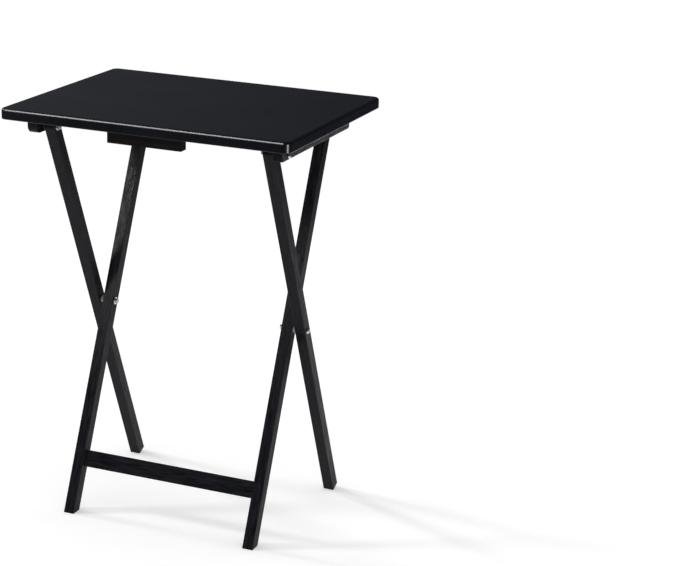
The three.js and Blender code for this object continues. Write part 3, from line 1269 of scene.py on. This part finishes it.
@dataclass
class Top:
    """The board, the cleats and blocks under it, and their screws.

    Attributes:
        layout: The axes that the legs are laid out on.
        shop: Where the materials are made.
        corner_radius: The board's corners, seen from above.
        upper_round: Around the upper edge of the board.
        lower_round: Around the lower edge of the board.
        front_rounds: The lower front corners of the two cleats.
        rear_round: The lower rear corners of the cleats.
        strip_round: The edges of the cleats and the hanger block.
        hook_round: The edges of the hook block.
        bolt_hole: The radius of the cleats' hinge holes.
        rail_gap: The clearance of the hook block's channel.
        screw: The wood screws.
    """

    layout: Layout
    shop: Workshop
    corner_radius: float = 12 * MM
    upper_round: float = 4.5 * MM
    lower_round: float = 1.5 * MM
    front_rounds: dict[Side, float] = field(
        default_factory=lambda: {Side.LEFT: 11 * MM, Side.RIGHT: 2.5 * MM}
    )
    rear_round: float = 5 * MM
    strip_round: float = 0.8 * MM
    hook_round: float = 0.5 * MM
    bolt_hole: float = 2.8 * MM
    rail_gap: float = 0.4 * MM
    screw: WoodScrew = field(default_factory=WoodScrew)

    def screws_of(self, owner: str) -> list[str]:
        """The CAD nodes of the screws through one cleat or block."""
        return sorted(name for name in frame["nodes"] if name.startswith(f"{owner}_screw_"))

    def all_screws(self, owners: Iterable[str]) -> list[str]:
        """The CAD nodes of the screws through several cleats or blocks."""
        return [node for owner in owners for node in self.screws_of(owner)]

    def build(self) -> None:
        """Makes every piece of the top."""
        cleat_wood = BLACK_WOOD.material(self.shop, Grain.ALONG_Y)
        owners = []
        for side in Side:
            name = f"{side.word}_cleat"
            add_piece(self.cleat(side), name, Body.TOP, cleat_wood)
            owners.append(name)
        hanger_wood = BROWN_BLOCK.material(self.shop, Grain.ALONG_X)
        add_piece(self.hanger(), "hanger_block", Body.TOP, hanger_wood)
        hook_wood = BLACK_WOOD.material(self.shop, Grain.ALONG_X)
        add_piece(self.hook(), "hook_block", Body.TOP, hook_wood)
        owners += ["hanger_block", "hook_block"]
        steel = DARK_STEEL.material(self.shop)
        for node in self.all_screws(owners):
            screw = self.screw.shape(node)
            add_piece(screw, node, Body.TOP, steel, SMALL_PART_SHARPNESS)
        lacquer = BLACK_LACQUER.material(self.shop)
        add_piece(self.board(owners), "tabletop", Body.TOP, lacquer)

    def board(self, owners: Iterable[str]) -> Shape:
        """Shapes the board.

        Args:
            owners: The cleats and blocks whose screws go into it.

        Returns:
            The board with its corners and edges rounded and its screw holes.
        """
        low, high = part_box("tabletop")
        shape = new_box(low, high)
        round_edges(shape, edges_along(shape, 2), self.corner_radius, segments=14)
        for level, radius, segments in ((high.z, self.upper_round, 6), (low.z, self.lower_round, 4)):
            rim = edges_where(shape, lambda a, b: same(a.z, level) and same(b.z, level))
            round_edges(shape, rim, radius, segments)
        return combined(shape, map(self.screw.hole, self.all_screws(owners)))

    def cleat(self, side: Side) -> Shape:
        """Shapes one cleat.

        Args:
            side: Which cleat.

        Returns:
            The cleat with its hinge hole and screw holes.
        """
        name = f"{side.word}_cleat"
        low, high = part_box(name)
        shape = new_box(low, high)
        corners = ((low.y, self.front_rounds[side]), (high.y, self.rear_round))
        for place, radius in corners:
            corner = edges_where(
                shape,
                lambda a, b: all(same(end.y, place) and same(end.z, low.z) for end in (a, b)),
            )
            round_edges(shape, corner, radius, segments=8)
        outline = edges_where(
            shape,
            lambda a, b: same(a.x, b.x) and min(a.z, b.z) < high.z - SAME_PLACE,
        )
        round_edges(shape, outline, self.strip_round, segments=3)
        hinge = hole_through(name, self.bolt_hole, self.layout.pivot)
        return combined(shape, [hinge, *map(self.screw.hole, self.screws_of(name))])

    def hanger(self) -> Shape:
        """Shapes the block under the front edge.

        Returns:
            The block with its screw holes.
        """
        low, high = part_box("hanger_block")
        shape = new_box(low, high)
        eased = edges_where(shape, lambda a, b: min(a.z, b.z) < high.z - SAME_PLACE)
        round_edges(shape, eased, self.strip_round, segments=3)
        return combined(shape, map(self.screw.hole, self.screws_of("hanger_block")))

    def hook(self) -> Shape:
        """Shapes the block that drops over the rear rail.

        Returns:
            The block with its channel and screw holes.
        """
        low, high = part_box("hook_block")
        rail = middle_of("rear_rail")
        radius = radius_of("rear_rail") + self.rail_gap
        screw_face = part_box(self.screws_of("hook_block")[0])[0].z
        reach = Vector((PAST_A_FACE, PAST_A_FACE, PAST_A_FACE)) * 2
        start, end = low - reach, high + reach
        channel = rod_along_x(start.x, end.x, radius, rail, steps=48)
        mouth = new_box((start.x, rail.y, start.z), (end.x, rail.y + radius, rail.z))
        overlap = 0.01 * MM
        short_wall = new_box(start, (end.x, rail.y + overlap, screw_face))
        shape = combined(new_box(low, high), [channel, mouth, short_wall])
        bmesh.ops.dissolve_limit(shape, angle_limit=0.01, verts=shape.verts, edges=shape.edges)
        eased = [
            edge
            for edge in sharp_edges(shape)
            if min(vert.co.z for vert in edge.verts) < high.z - SAME_PLACE
        ]
        round_edges(shape, eased, self.hook_round, segments=2)
        return combined(shape, map(self.screw.hole, self.screws_of("hook_block")))


# ---- Bolts and what is on them ----


@dataclass
class Fastening:
    """One machine bolt with its spacer, washer and nut, all about a line along X.

    Attributes:
        side: Which end of the table it is on.
        prefix: What its CAD nodes are called after the side.
        shank: The bolt's radius.
        end_bevel: The bevel on the bolt's threaded end.
        head_height: The height of its domed head.
        head_rim: The height of the straight rim under the dome.
        head_undercut: How much narrower the head is where it meets its seat.
        dome_steps: How many strips the dome has.
        dome_blunting: The powers that blunt the dome upwards and outwards, where 1 leaves it round.
        thread_pitch: From one thread to the next.
        thread_depth: How deep the threads are.
        thread_flank: Where a thread's rising side starts and ends, in shares of the pitch.
        thread_runout: From the last thread to the plain shank.
        bore_gap: The clearance of the rings around the shank.
        ring_round: The rounding of the rings' edges.
        ring_round_steps: How many strips that rounding has.
        countersink: How deep the nut's hole is countersunk.
        nut_chamfer: How steep the chamfer on the nut's corners is.
        recess: The driver recess.
    """

    side: Side
    prefix: str
    shank: float = 2.5 * MM
    end_bevel: float = 0.3 * MM
    head_height: float = 2.8 * MM
    head_rim: float = 0.2 * MM
    head_undercut: float = 0.15 * MM
    dome_steps: int = 9
    dome_blunting: tuple[float, float] = (0.9, 0.75)
    thread_pitch: float = 0.8 * MM
    thread_depth: float = 0.35 * MM
    thread_flank: tuple[float, float] = (0.25, 0.6)
    thread_runout: float = 0.3 * MM
    bore_gap: float = 0.12 * MM
    ring_round: float = 0.25 * MM
    ring_round_steps: int = 3
    countersink: float = 0.4 * MM
    nut_chamfer: float = 0.75
    recess: CrossRecess = field(default_factory=lambda: CrossRecess(4.8 * MM, 1.05 * MM, 1.3 * MM))

    def span(self, piece: str) -> tuple[float, float]:
        """Where one of its pieces lies, counted outwards from the middle of the table.

        Args:
            piece: The piece.

        Returns:
            Its near and its far X.
        """
        low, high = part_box(self.node(piece))
        ends = sorted((abs(low.x), abs(high.x)))
        return ends[0], ends[1]

    def node(self, piece: str) -> str:
        """The CAD node of one of its pieces."""
        return f"{self.side.word}_{self.prefix}_{piece}"

    def turned(self, profile: Profile, steps: int) -> Shape:
        """Turns a profile about the bolt's line, on its own side of the table.

        Args:
            profile: (distance outwards, radius) pairs.
            steps: How many faces go round.

        Returns:
            The shape.
        """
        sign = self.side.value
        placed = [(sign * x, radius) for x, radius in profile]
        return turned_along_x(placed, middle_of(self.node("bolt")), steps)

    def bolt(self) -> Shape:
        """Makes the bolt, with threads on the end that the nut holds.

        Returns:
            The bolt.
        """
        end, top = self.span("bolt")
        seat = top - self.head_height
        profile = self.threaded_end(end, self.span("nut")[1])
        profile += [(seat, self.shank), *self.domed_head(seat)]
        sign = self.side.value
        centre = middle_of(self.node("bolt"))
        face = Vector((sign * top, centre.y, centre.z))
        cutters = self.recess.cutters(face, Vector((-sign, 0, 0)))
        return combined(self.turned(profile, steps=36), cutters)

    def threaded_end(self, end: float, nut_seat: float) -> list[tuple[float, float]]:
        """The outline of the bolt's end, its threads as rings.

        Args:
            end: Where the bolt ends.
            nut_seat: The face that the nut is screwed up to.

        Returns:
            (distance outwards, radius) pairs.
        """
        core = self.shank - self.thread_depth
        foot, crest = (share * self.thread_pitch for share in self.thread_flank)
        x = end + self.end_bevel
        points = [(end, 0.0), (end, core - self.end_bevel), (x, core)]
        while x < nut_seat:
            points += [(x + foot, core), (x + crest, self.shank), (x + self.thread_pitch, core)]
            x += self.thread_pitch
        points.append((x + self.thread_runout, self.shank))
        return points

    def domed_head(self, seat: float) -> list[tuple[float, float]]:
        """The outline of the bolt's head.

        Args:
            seat: The face under the head.

        Returns:
            (distance outwards, radius) pairs.
        """
        radius = radius_of(self.node("bolt"))
        points = [(seat, radius - self.head_undercut)]
        rise = self.head_height - self.head_rim
        upwards, outwards = self.dome_blunting
        for step in range(self.dome_steps + 1):
            angle = step / self.dome_steps * math.pi / 2
            height = self.head_rim + rise * math.sin(angle) ** upwards
            points.append((seat + height, radius * math.cos(angle) ** outwards))
        return points

    def ring(self, piece: str) -> Shape:
        """Makes the spacer or the washer.

        Args:
            piece: Which of them.

        Returns:
            The ring, with its four edges rounded.
        """
        near, far = self.span(piece)
        outer = radius_of(self.node(piece))
        inner = self.shank + self.bore_gap
        r = min(self.ring_round, (far - near) / 4)
        quarter = math.pi / 2
        corners = [
            (near + r, outer - r, quarter),
            (near + r, inner + r, 2 * quarter),
            (far - r, inner + r, 3 * quarter),
            (far - r, outer - r, 0.0),
        ]
        profile = []
        for x, radius, start in corners:
            for step in range(self.ring_round_steps + 1):
                angle = start + quarter * step / self.ring_round_steps
                profile.append((x + r * math.cos(angle), radius + r * math.sin(angle)))
        return self.turned(profile, steps=40)

    def nut(self) -> Shape:
        """Makes the hexagon nut with its corners chamfered.

        Returns:
            The nut.
        """
        near, far = self.span("nut")
        corner = radius_of(self.node("nut"))
        flats = corner * math.cos(math.pi / 6)
        bore = self.shank + self.bore_gap
        hexagon = self.turned([(near, 0.0), (near, corner), (far, corner), (far, 0.0)], steps=6)
        slope = (corner - flats) * self.nut_chamfer
        past_corner = corner + 0.01 * MM
        barrel = [
            (near, 0.0),
            (near, flats),
            (near + slope, past_corner),
            (far - slope, past_corner),
            (far, flats),
            (far, 0.0),
        ]
        sunk = self.countersink
        hole = [
            (near - sunk, 0.0),
            (near - sunk, bore + 2 * sunk),
            (near + sunk, bore),
            (far - sunk, bore),
            (far + sunk, bore + 2 * sunk),
            (far + sunk, 0.0),
        ]
        chamfered = combined(hexagon, [self.turned(barrel, steps=48)], Combining.KEEP_SHARED)
        return combined(chamfered, [self.turned(hole, steps=32)])

    def build(self, steel: Material, nylon: Material, nylon_slot: str) -> None:
        """Makes the four pieces.

        Args:
            steel: The material of the bolt, washer and nut.
            nylon: The material of the spacer.
            nylon_slot: The name of the spacer's finish; not used.
        """
        pieces = (
            ("bolt", self.bolt(), BRIGHT_STEEL.name, steel),
            ("spacer", self.ring("spacer"), nylon_slot, nylon),
            ("washer", self.ring("washer"), BRIGHT_STEEL.name, steel),
            ("nut", self.nut(), BRIGHT_STEEL.name, steel),
        )
        for piece, shape, slot, material in pieces:
            node = self.node(piece)
            add_piece(shape, node, Body.OUTER, material, SMALL_PART_SHARPNESS)


# ---- Legs ----


@dataclass
class LegShape:
    """A square leg with a round upper end.

    Attributes:
        layout: The axes that the legs are laid out on.
        depth: Across the leg, seen from the side.
        edge_round: The rounding of its long edges.
        crown_flat: What the crown's round leaves flat on either side of its top.
        bolt_hole: The radius of its bolt holes.
    """

    layout: Layout
    depth: float = 18.4 * MM
    edge_round: float = 1.0 * MM
    crown_flat: float = 0.02 * MM
    bolt_hole: float = 2.8 * MM

    def blank(self, node: str, body: Body) -> Shape:
        """Shapes a leg without its holes.

        Args:
            node: The leg's CAD node.
            body: The pair that it belongs to.

        Returns:
            The leg, in its place. An outer leg's foot is cut square and an inner one's level.
        """
        low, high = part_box(node)
        half = self.depth / 2
        lean = self.layout.lean
        cross_height = self.layout.cross.z
        if body is Body.OUTER:
            foot = (half * math.sin(lean) - cross_height) / math.cos(lean)
        else:
            foot = -cross_height / math.cos(lean) - self.depth
        head = self.layout.reach + half
        shape = new_box((low.x, -half, foot), (high.x, half, head))
        crown = edges_where(
            shape,
            lambda a, b: same(a.z, head) and same(b.z, head) and not same(a.x, b.x),
        )
        round_edges(shape, crown, half - self.crown_flat, segments=12)
        outline = edges_where(
            shape,
            lambda a, b: same(a.x, b.x) and not (same(a.z, foot) and same(b.z, foot)),
        )
        round_edges(shape, outline, self.edge_round, segments=4)
        bmesh.ops.transform(shape, matrix=self.layout.leg_frame(body), verts=shape.verts)
        if body is Body.INNER:
            self.cut_level(shape)
        return shape

    @staticmethod
    def cut_level(shape: Shape) -> None:
        """Cuts a leg off level with the floor and closes it.

        Args:
            shape: The leg, changed in place.
        """
        everything = [*shape.verts, *shape.edges, *shape.faces]
        made = bmesh.ops.bisect_plane(
            shape,
            geom=everything,
            dist=WELD,
            plane_co=(0, 0, 0),
            plane_no=(0, 0, -1),
            clear_outer=True,
        )
        ring = [item for item in made["geom_cut"] if isinstance(item, Edge)]
        bmesh.ops.contextual_create(shape, geom=ring)
        bmesh.ops.recalc_face_normals(shape, faces=shape.faces)


@dataclass
class OuterFrame:
    """The outer pair of legs and the four bolts.

    Attributes:
        layout: The axes that the legs are laid out on.
        shop: Where the materials are made.
    """

    layout: Layout
    shop: Workshop

    def build(self) -> None:
        """Makes every piece of the outer frame."""
        leg = LegShape(self.layout)
        wood = BLACK_WOOD.material(self.shop, Grain.UP_OUTER_LEGS)
        steel = BRIGHT_STEEL.material(self.shop)
        black = BLACK_NYLON.material(self.shop)
        pale = PALE_NYLON.material(self.shop)
        for side in Side:
            node = f"{side.word}_outer_leg"
            axes = (self.layout.cross, self.layout.pivot)
            holes = [hole_through(node, leg.bolt_hole, axis) for axis in axes]
            shape = combined(leg.blank(node, Body.OUTER), holes)
            add_piece(shape, node, Body.OUTER, wood)
            Fastening(side, "pivot").build(steel, black, BLACK_NYLON.name)
            Fastening(side, "cross").build(steel, pale, PALE_NYLON.name)


@dataclass
class InnerFrame:
    """The inner pair of legs, their stretcher and its pins, and the rear rail.

    Attributes:
        layout: The axes that the legs are laid out on.
        shop: Where the materials are made.
        stretcher_height: The stretcher, along the legs.
        stretcher_thickness: The stretcher, across them.
        stretcher_round: The rounding of its edges.
        tenon_length: The rail's tenons.
        tenon_radius: Their radius.
        socket_gap: The clearance around pins and tenons.
        end_gap: The room past their ends.
        chamfer: The chamfers on pins and tenons.
    """

    layout: Layout
    shop: Workshop
    stretcher_height: float = 27 * MM
    stretcher_thickness: float = 12 * MM
    stretcher_round: float = 0.8 * MM
    tenon_length: float = 12 * MM
    tenon_radius: float = 6 * MM
    socket_gap: float = 0.15 * MM
    end_gap: float = 0.5 * MM
    chamfer: float = 0.6 * MM

    def pins(self, side: Side) -> list[str]:
        """The CAD nodes of one end's stretcher pins."""
        return [f"{side.word}_stretcher_pin_{level}" for level in ("lower", "upper")]

    def pin_socket(self, node: str) -> Shape:
        """Makes the cutter for a pin's socket.

        Args:
            node: The pin's CAD node.

        Returns:
            The cutter.
        """
        low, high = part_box(node)
        radius = radius_of(node) + self.socket_gap
        start, end = low.x - self.end_gap, high.x + self.end_gap
        return rod_along_x(start, end, radius, middle_of(node), HOLE_STEPS)

    def build(self) -> None:
        """Makes every piece of the inner frame."""
        upright = BLACK_WOOD.material(self.shop, Grain.UP_INNER_LEGS)
        across = BLACK_WOOD.material(self.shop, Grain.ALONG_X)
        bare = BARE_WOOD.material(self.shop, Grain.ALONG_X)
        for side in Side:
            leg = f"{side.word}_inner_leg"
            add_piece(self.leg(side), leg, Body.INNER, upright)
            for node in self.pins(side):
                add_piece(self.pin(node), node, Body.INNER, bare)
        add_piece(self.stretcher(), "stretcher", Body.INNER, across)
        add_piece(self.rail(), "rear_rail", Body.INNER, across)

    def leg(self, side: Side) -> Shape:
        """Shapes one inner leg.

        Args:
            side: Which leg.

        Returns:
            The leg with its bolt hole and sockets.
        """
        node = f"{side.word}_inner_leg"
        leg = LegShape(self.layout)
        bolt_hole = hole_through(node, leg.bolt_hole, self.layout.cross)
        rail_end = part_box("rear_rail")[1].x
        end = (rail_end + self.end_gap) * side.value
        start = (rail_end - self.tenon_length - PAST_A_FACE) * side.value
        radius = self.tenon_radius + self.socket_gap
        tenon_socket = rod_along_x(start, end, radius, middle_of("rear_rail"))
        pin_sockets = map(self.pin_socket, self.pins(side))
        return combined(leg.blank(node, Body.INNER), [bolt_hole, tenon_socket, *pin_sockets])

    def pin(self, node: str) -> Shape:
        """Makes a dowel pin with chamfered ends.

        Args:
            node: The pin's CAD node.

        Returns:
            The pin.
        """
        low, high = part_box(node)
        radius = radius_of(node)
        c = self.chamfer
        profile = [
            (low.x, 0.0),
            (low.x, radius - c),
            (low.x + c, radius),
            (high.x - c, radius),
            (high.x, radius - c),
            (high.x, 0.0),
        ]
        return turned_along_x(profile, middle_of(node), HOLE_STEPS)

    def stretcher(self) -> Shape:
        """Shapes the flat bar between the inner legs.

        Returns:
            The stretcher with the sockets of its pins.
        """
        low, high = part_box("stretcher")
        size = Vector((high.x - low.x, self.stretcher_thickness, self.stretcher_height))
        shape = new_box(-size / 2, size / 2)
        round_edges(shape, edges_along(shape, 0), self.stretcher_round, segments=3)
        turn = Matrix.Rotation(-self.layout.lean, 4, "X")
        place = Matrix.Translation(middle_of("stretcher")) @ turn
        bmesh.ops.transform(shape, matrix=place, verts=shape.verts)
        sockets = [self.pin_socket(node) for side in Side for node in self.pins(side)]
        return combined(shape, sockets)

    def rail(self) -> Shape:
        """Makes the round rail with a tenon at each end.

        Returns:
            The rail.
        """
        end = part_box("rear_rail")[1].x
        shoulder = end - self.tenon_length
        c = self.chamfer
        half = [
            (shoulder, radius_of("rear_rail")),
            (shoulder, self.tenon_radius),
            (end - c, self.tenon_radius),
            (end, self.tenon_radius - c),
            (end, 0.0),
        ]
        profile = [(-x, radius) for x, radius in reversed(half)] + half
        return turned_along_x(profile, middle_of("rear_rail"), steps=48)


# ---- Studio ----


def aimed_along(direction: Vector) -> Matrix:
    """The rotation of a lamp whose light travels in a direction."""
    return direction.to_track_quat("-Z", "Y").to_matrix().to_4x4()


@dataclass
class SoftBox:
    """One rectangular lamp that shows only in the gloss of some pieces, as a light line or patch.

    Attributes:
        name: Its name.
        place: Where it stands.
        aim: The point it faces.
        width: Its width.
        height: Its height.
        watts: Its power.
        shows_in: What the names of the pieces that it shows in have in common.
        spread: How wide its light fans out, in degrees.
    """

    name: str
    place: Point
    aim: Point
    width: float
    height: float
    watts: float
    shows_in: str
    spread: float = 180.0

    def build(self) -> None:
        """Puts the lamp in the scene."""
        data = bpy.data.lights.new(self.name, "AREA")
        data.shape = "RECTANGLE"
        data.size = self.width
        data.size_y = self.height
        data.energy = self.watts
        data.spread = math.radians(self.spread)
        lamp = bpy.data.objects.new(self.name, data)
        away = Vector(self.aim) - Vector(self.place)
        lamp.matrix_world = Matrix.Translation(self.place) @ aimed_along(away)
        lamp.visible_camera = False
        lamp.visible_diffuse = False
        receivers = bpy.data.collections.new(self.name)
        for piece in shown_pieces():
            if self.shows_in in piece.name:
                receivers.objects.link(piece)
        lamp.light_linking.receiver_collection = receivers
        bpy.context.scene.collection.objects.link(lamp)


@dataclass
class LowSun:
    """A broad distant lamp that draws the legs' soft shadows on the floor.

    Attributes:
        name: Its name.
        travel: The direction its light travels in.
        softness: Its width as seen from the table, in degrees.
        strength: Its strength.
    """

    name: str
    travel: Point
    softness: float
    strength: float

    def build(self, blockers: bpy.types.Collection) -> None:
        """Puts the lamp in the scene.

        Args:
            blockers: The pieces that cast its shadows.
        """
        data = bpy.data.lights.new(self.name, "SUN")
        data.angle = math.radians(self.softness)
        data.energy = self.strength
        lamp = bpy.data.objects.new(self.name, data)
        lamp.matrix_world = aimed_along(Vector(self.travel))
        lamp.light_linking.blocker_collection = blockers
        bpy.context.scene.collection.objects.link(lamp)


@dataclass
class Studio:
    """The floor, the white surroundings, the lamps and the camera.

    Attributes:
        floor_half: Half the side of the floor.
        floor_colour: The floor's colour.
        floor_lift: How much brighter than lit the floor is seen, which takes it to white.
        world_level: The strength of the surroundings as light on matt surfaces.
        room_near: What lies past the white floor on the right, as seen in gloss and glass.
        room_far: The same on the left.
        room_turn: The X of the directions between which the one becomes the other.
        camera_place: Where the camera is.
        azimuth: The camera's direction round the table, in degrees.
        elevation: Its height angle, in degrees.
        roll: Its roll, in degrees.
        lens: Its focal length in millimetres.
        sensor: The width of its sensor in millimetres.
        lamps: The soft boxes.
        suns: The lamps that draw the shadows.
    """

    floor_half: float = 1.6
    floor_colour: Colour = (0.9, 0.9, 0.9)
    floor_lift: float = 0.30
    world_level: float = 0.62
    room_near: Colour = (0.064, 0.067, 0.078)
    room_far: Colour = (0.130, 0.135, 0.152)
    room_turn: tuple[float, float] = (-0.36, -0.54)
    camera_place: Point = (1.3298, -2.6880, 1.3217)
    azimuth: float = 21.855
    elevation: float = 17.375
    roll: float = 1.565
    lens: float = 103.56
    sensor: float = 36.0
    lamps: tuple[SoftBox, ...] = (
        SoftBox("front_box", (-0.80, -1.60, 2.10), (0.0, -0.18, 0.67), 2.0, 1.2, 300.0, "tabletop"),
        SoftBox("right_strip", (1.95, -0.90, 0.50), (0.24, -0.18, 0.62), 0.45, 1.0, 75.0, "tabletop"),
        SoftBox("leg_box", (-0.90, -1.58, 1.54), (-0.19, 0.04, 0.42), 0.5, 0.2, 0.5, "inner_leg", 12.0),
        SoftBox("cleat_box", (0.95, 1.80, 0.25), (0.215, 0.0, 0.645), 0.9, 0.4, 2.2, "cleat_piece"),
    )
    suns: tuple[LowSun, ...] = (
        LowSun("left_rear_sun", (2.0, -0.42, -1.0), 8.0, 0.80),
        LowSun("left_front_sun", (1.37, 0.29, -1.0), 8.0, 0.72),
    )

    @staticmethod
    def ray_masks(bench: Bench) -> tuple[Socket, Socket]:
        """Masks of the rays that show what is around the table.

        Args:
            bench: The bench on the floor's or the surroundings' tree.

        Returns:
            A mask of the camera's own rays, and one of the rays in gloss and glass.
        """
        path = bench.add("ShaderNodeLightPath")
        glossy = path.outputs["Is Glossy Ray"]
        in_glass = path.outputs["Is Transmission Ray"]
        return path.outputs["Is Camera Ray"], bench.math("ADD", glossy, in_glass, clamp=True)

    def build(self) -> None:
        """Makes the whole studio, after the table."""
        self.floor()
        self.surroundings()
        for lamp in self.lamps:
            lamp.build()
        legs = bpy.data.collections.new("leg_shadows")
        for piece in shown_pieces():
            if body_of(piece) != [Body.TOP.value]:
                legs.objects.link(piece)
        for sun in self.suns:
            sun.build(legs)
        self.camera()
        bpy.context.scene.view_settings.view_transform = "Standard"

    def floor(self) -> None:
        """Lays the pale floor."""
        shape = bmesh.new()
        bmesh.ops.create_grid(shape, x_segments=1, y_segments=1, size=self.floor_half)
        mesh = bpy.data.meshes.new("floor")
        shape.to_mesh(mesh)
        shape.free()
        mesh.materials.append(self.floor_material())
        floor = bpy.data.objects.new("floor", mesh)
        bpy.context.scene.collection.objects.link(floor)
        floor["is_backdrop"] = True

    def floor_material(self) -> Material:
        """Makes the floor's material, which is clear from below so that the underside can be seen.

        Returns:
            The material.
        """
        material = bpy.data.materials.new("floor")
        material.use_nodes = True
        bench = Bench(material.node_tree)
        output = bench.add("ShaderNodeOutputMaterial")
        matt = bench.add("ShaderNodeBsdfDiffuse")
        bench.feed(matt, Color=(*self.floor_colour, 1.0))
        camera_rays, mirrored_rays = self.ray_masks(bench)
        seen = bench.math("ADD", camera_rays, mirrored_rays, clamp=True)
        glow = bench.add("ShaderNodeEmission")
        bench.feed(glow, Strength=bench.math("MULTIPLY", seen, self.floor_lift))
        from_above = bench.add("ShaderNodeAddShader")
        clear = bench.add("ShaderNodeBsdfTransparent")
        geometry = bench.add("ShaderNodeNewGeometry")
        either = bench.add("ShaderNodeMixShader")
        for socket, shader in zip(from_above.inputs, (matt, glow)):
            bench.put(socket, shader.outputs[0])
        bench.put(either.inputs[0], geometry.outputs["Backfacing"])
        bench.put(either.inputs[1], from_above.outputs[0])
        bench.put(either.inputs[2], clear.outputs[0])
        bench.feed(output, Surface=either.outputs[0])
        return material

    def surroundings(self) -> None:
        """Makes the surroundings: white to the camera, and a dim room in gloss and glass."""
        world = bpy.data.worlds.new("surroundings")
        world.use_nodes = True
        bench = Bench(world.node_tree)
        output = bench.add("ShaderNodeOutputWorld")
        around = bench.add("ShaderNodeBackground")
        camera_rays, mirrored_rays = self.ray_masks(bench)
        ray = bench.add("ShaderNodeSeparateXYZ")
        bench.feed(ray, Vector=bench.add("ShaderNodeTexCoord").outputs["Generated"])
        leftward = bench.remap(ray.outputs["X"], source=self.room_turn)
        room = bench.mix(leftward, self.room_near, self.room_far)
        colour = bench.mix(mirrored_rays, (1.0, 1.0, 1.0), room)
        white_level = bench.remap(camera_rays, FULL, (self.world_level, 1.0))
        level = bench.math("MAXIMUM", white_level, mirrored_rays)
        bench.feed(around, Color=colour, Strength=level)
        bench.feed(output, Surface=around.outputs[0])
        bpy.context.scene.world = world

    def camera(self) -> None:
        """Sets up the camera."""
        data = bpy.data.cameras.new("camera")
        data.sensor_width = self.sensor
        data.lens = self.lens
        data.dof.use_dof = False
        camera = bpy.data.objects.new("camera", data)
        azimuth = math.radians(self.azimuth)
        elevation = math.radians(self.elevation)
        roll = math.radians(self.roll)
        away = Vector(
            (
                math.sin(azimuth) * math.cos(elevation),
                -math.cos(azimuth) * math.cos(elevation),
                math.sin(elevation),
            )
        )
        right = Vector((math.cos(azimuth), math.sin(azimuth), 0.0))
        up = away.cross(right)
        turned_right = math.cos(roll) * right + math.sin(roll) * up
        turned_up = math.cos(roll) * up - math.sin(roll) * right
        axes = Matrix((turned_right, turned_up, away)).transposed().to_4x4()
        camera.matrix_world = Matrix.Translation(self.camera_place) @ axes
        bpy.context.scene.collection.objects.link(camera)
        bpy.context.scene.camera = camera


def main() -> None:
    """Builds the table and the studio."""
    logging.basicConfig(level=logging.INFO, format="%(message)s")
    layout = Layout.from_frame()
    shop = Workshop(layout, Effects())
    Top(layout, shop).build()
    OuterFrame(layout, shop).build()
    InnerFrame(layout, shop).build()
    Studio().build()


if __name__ == "__main__":
    main()
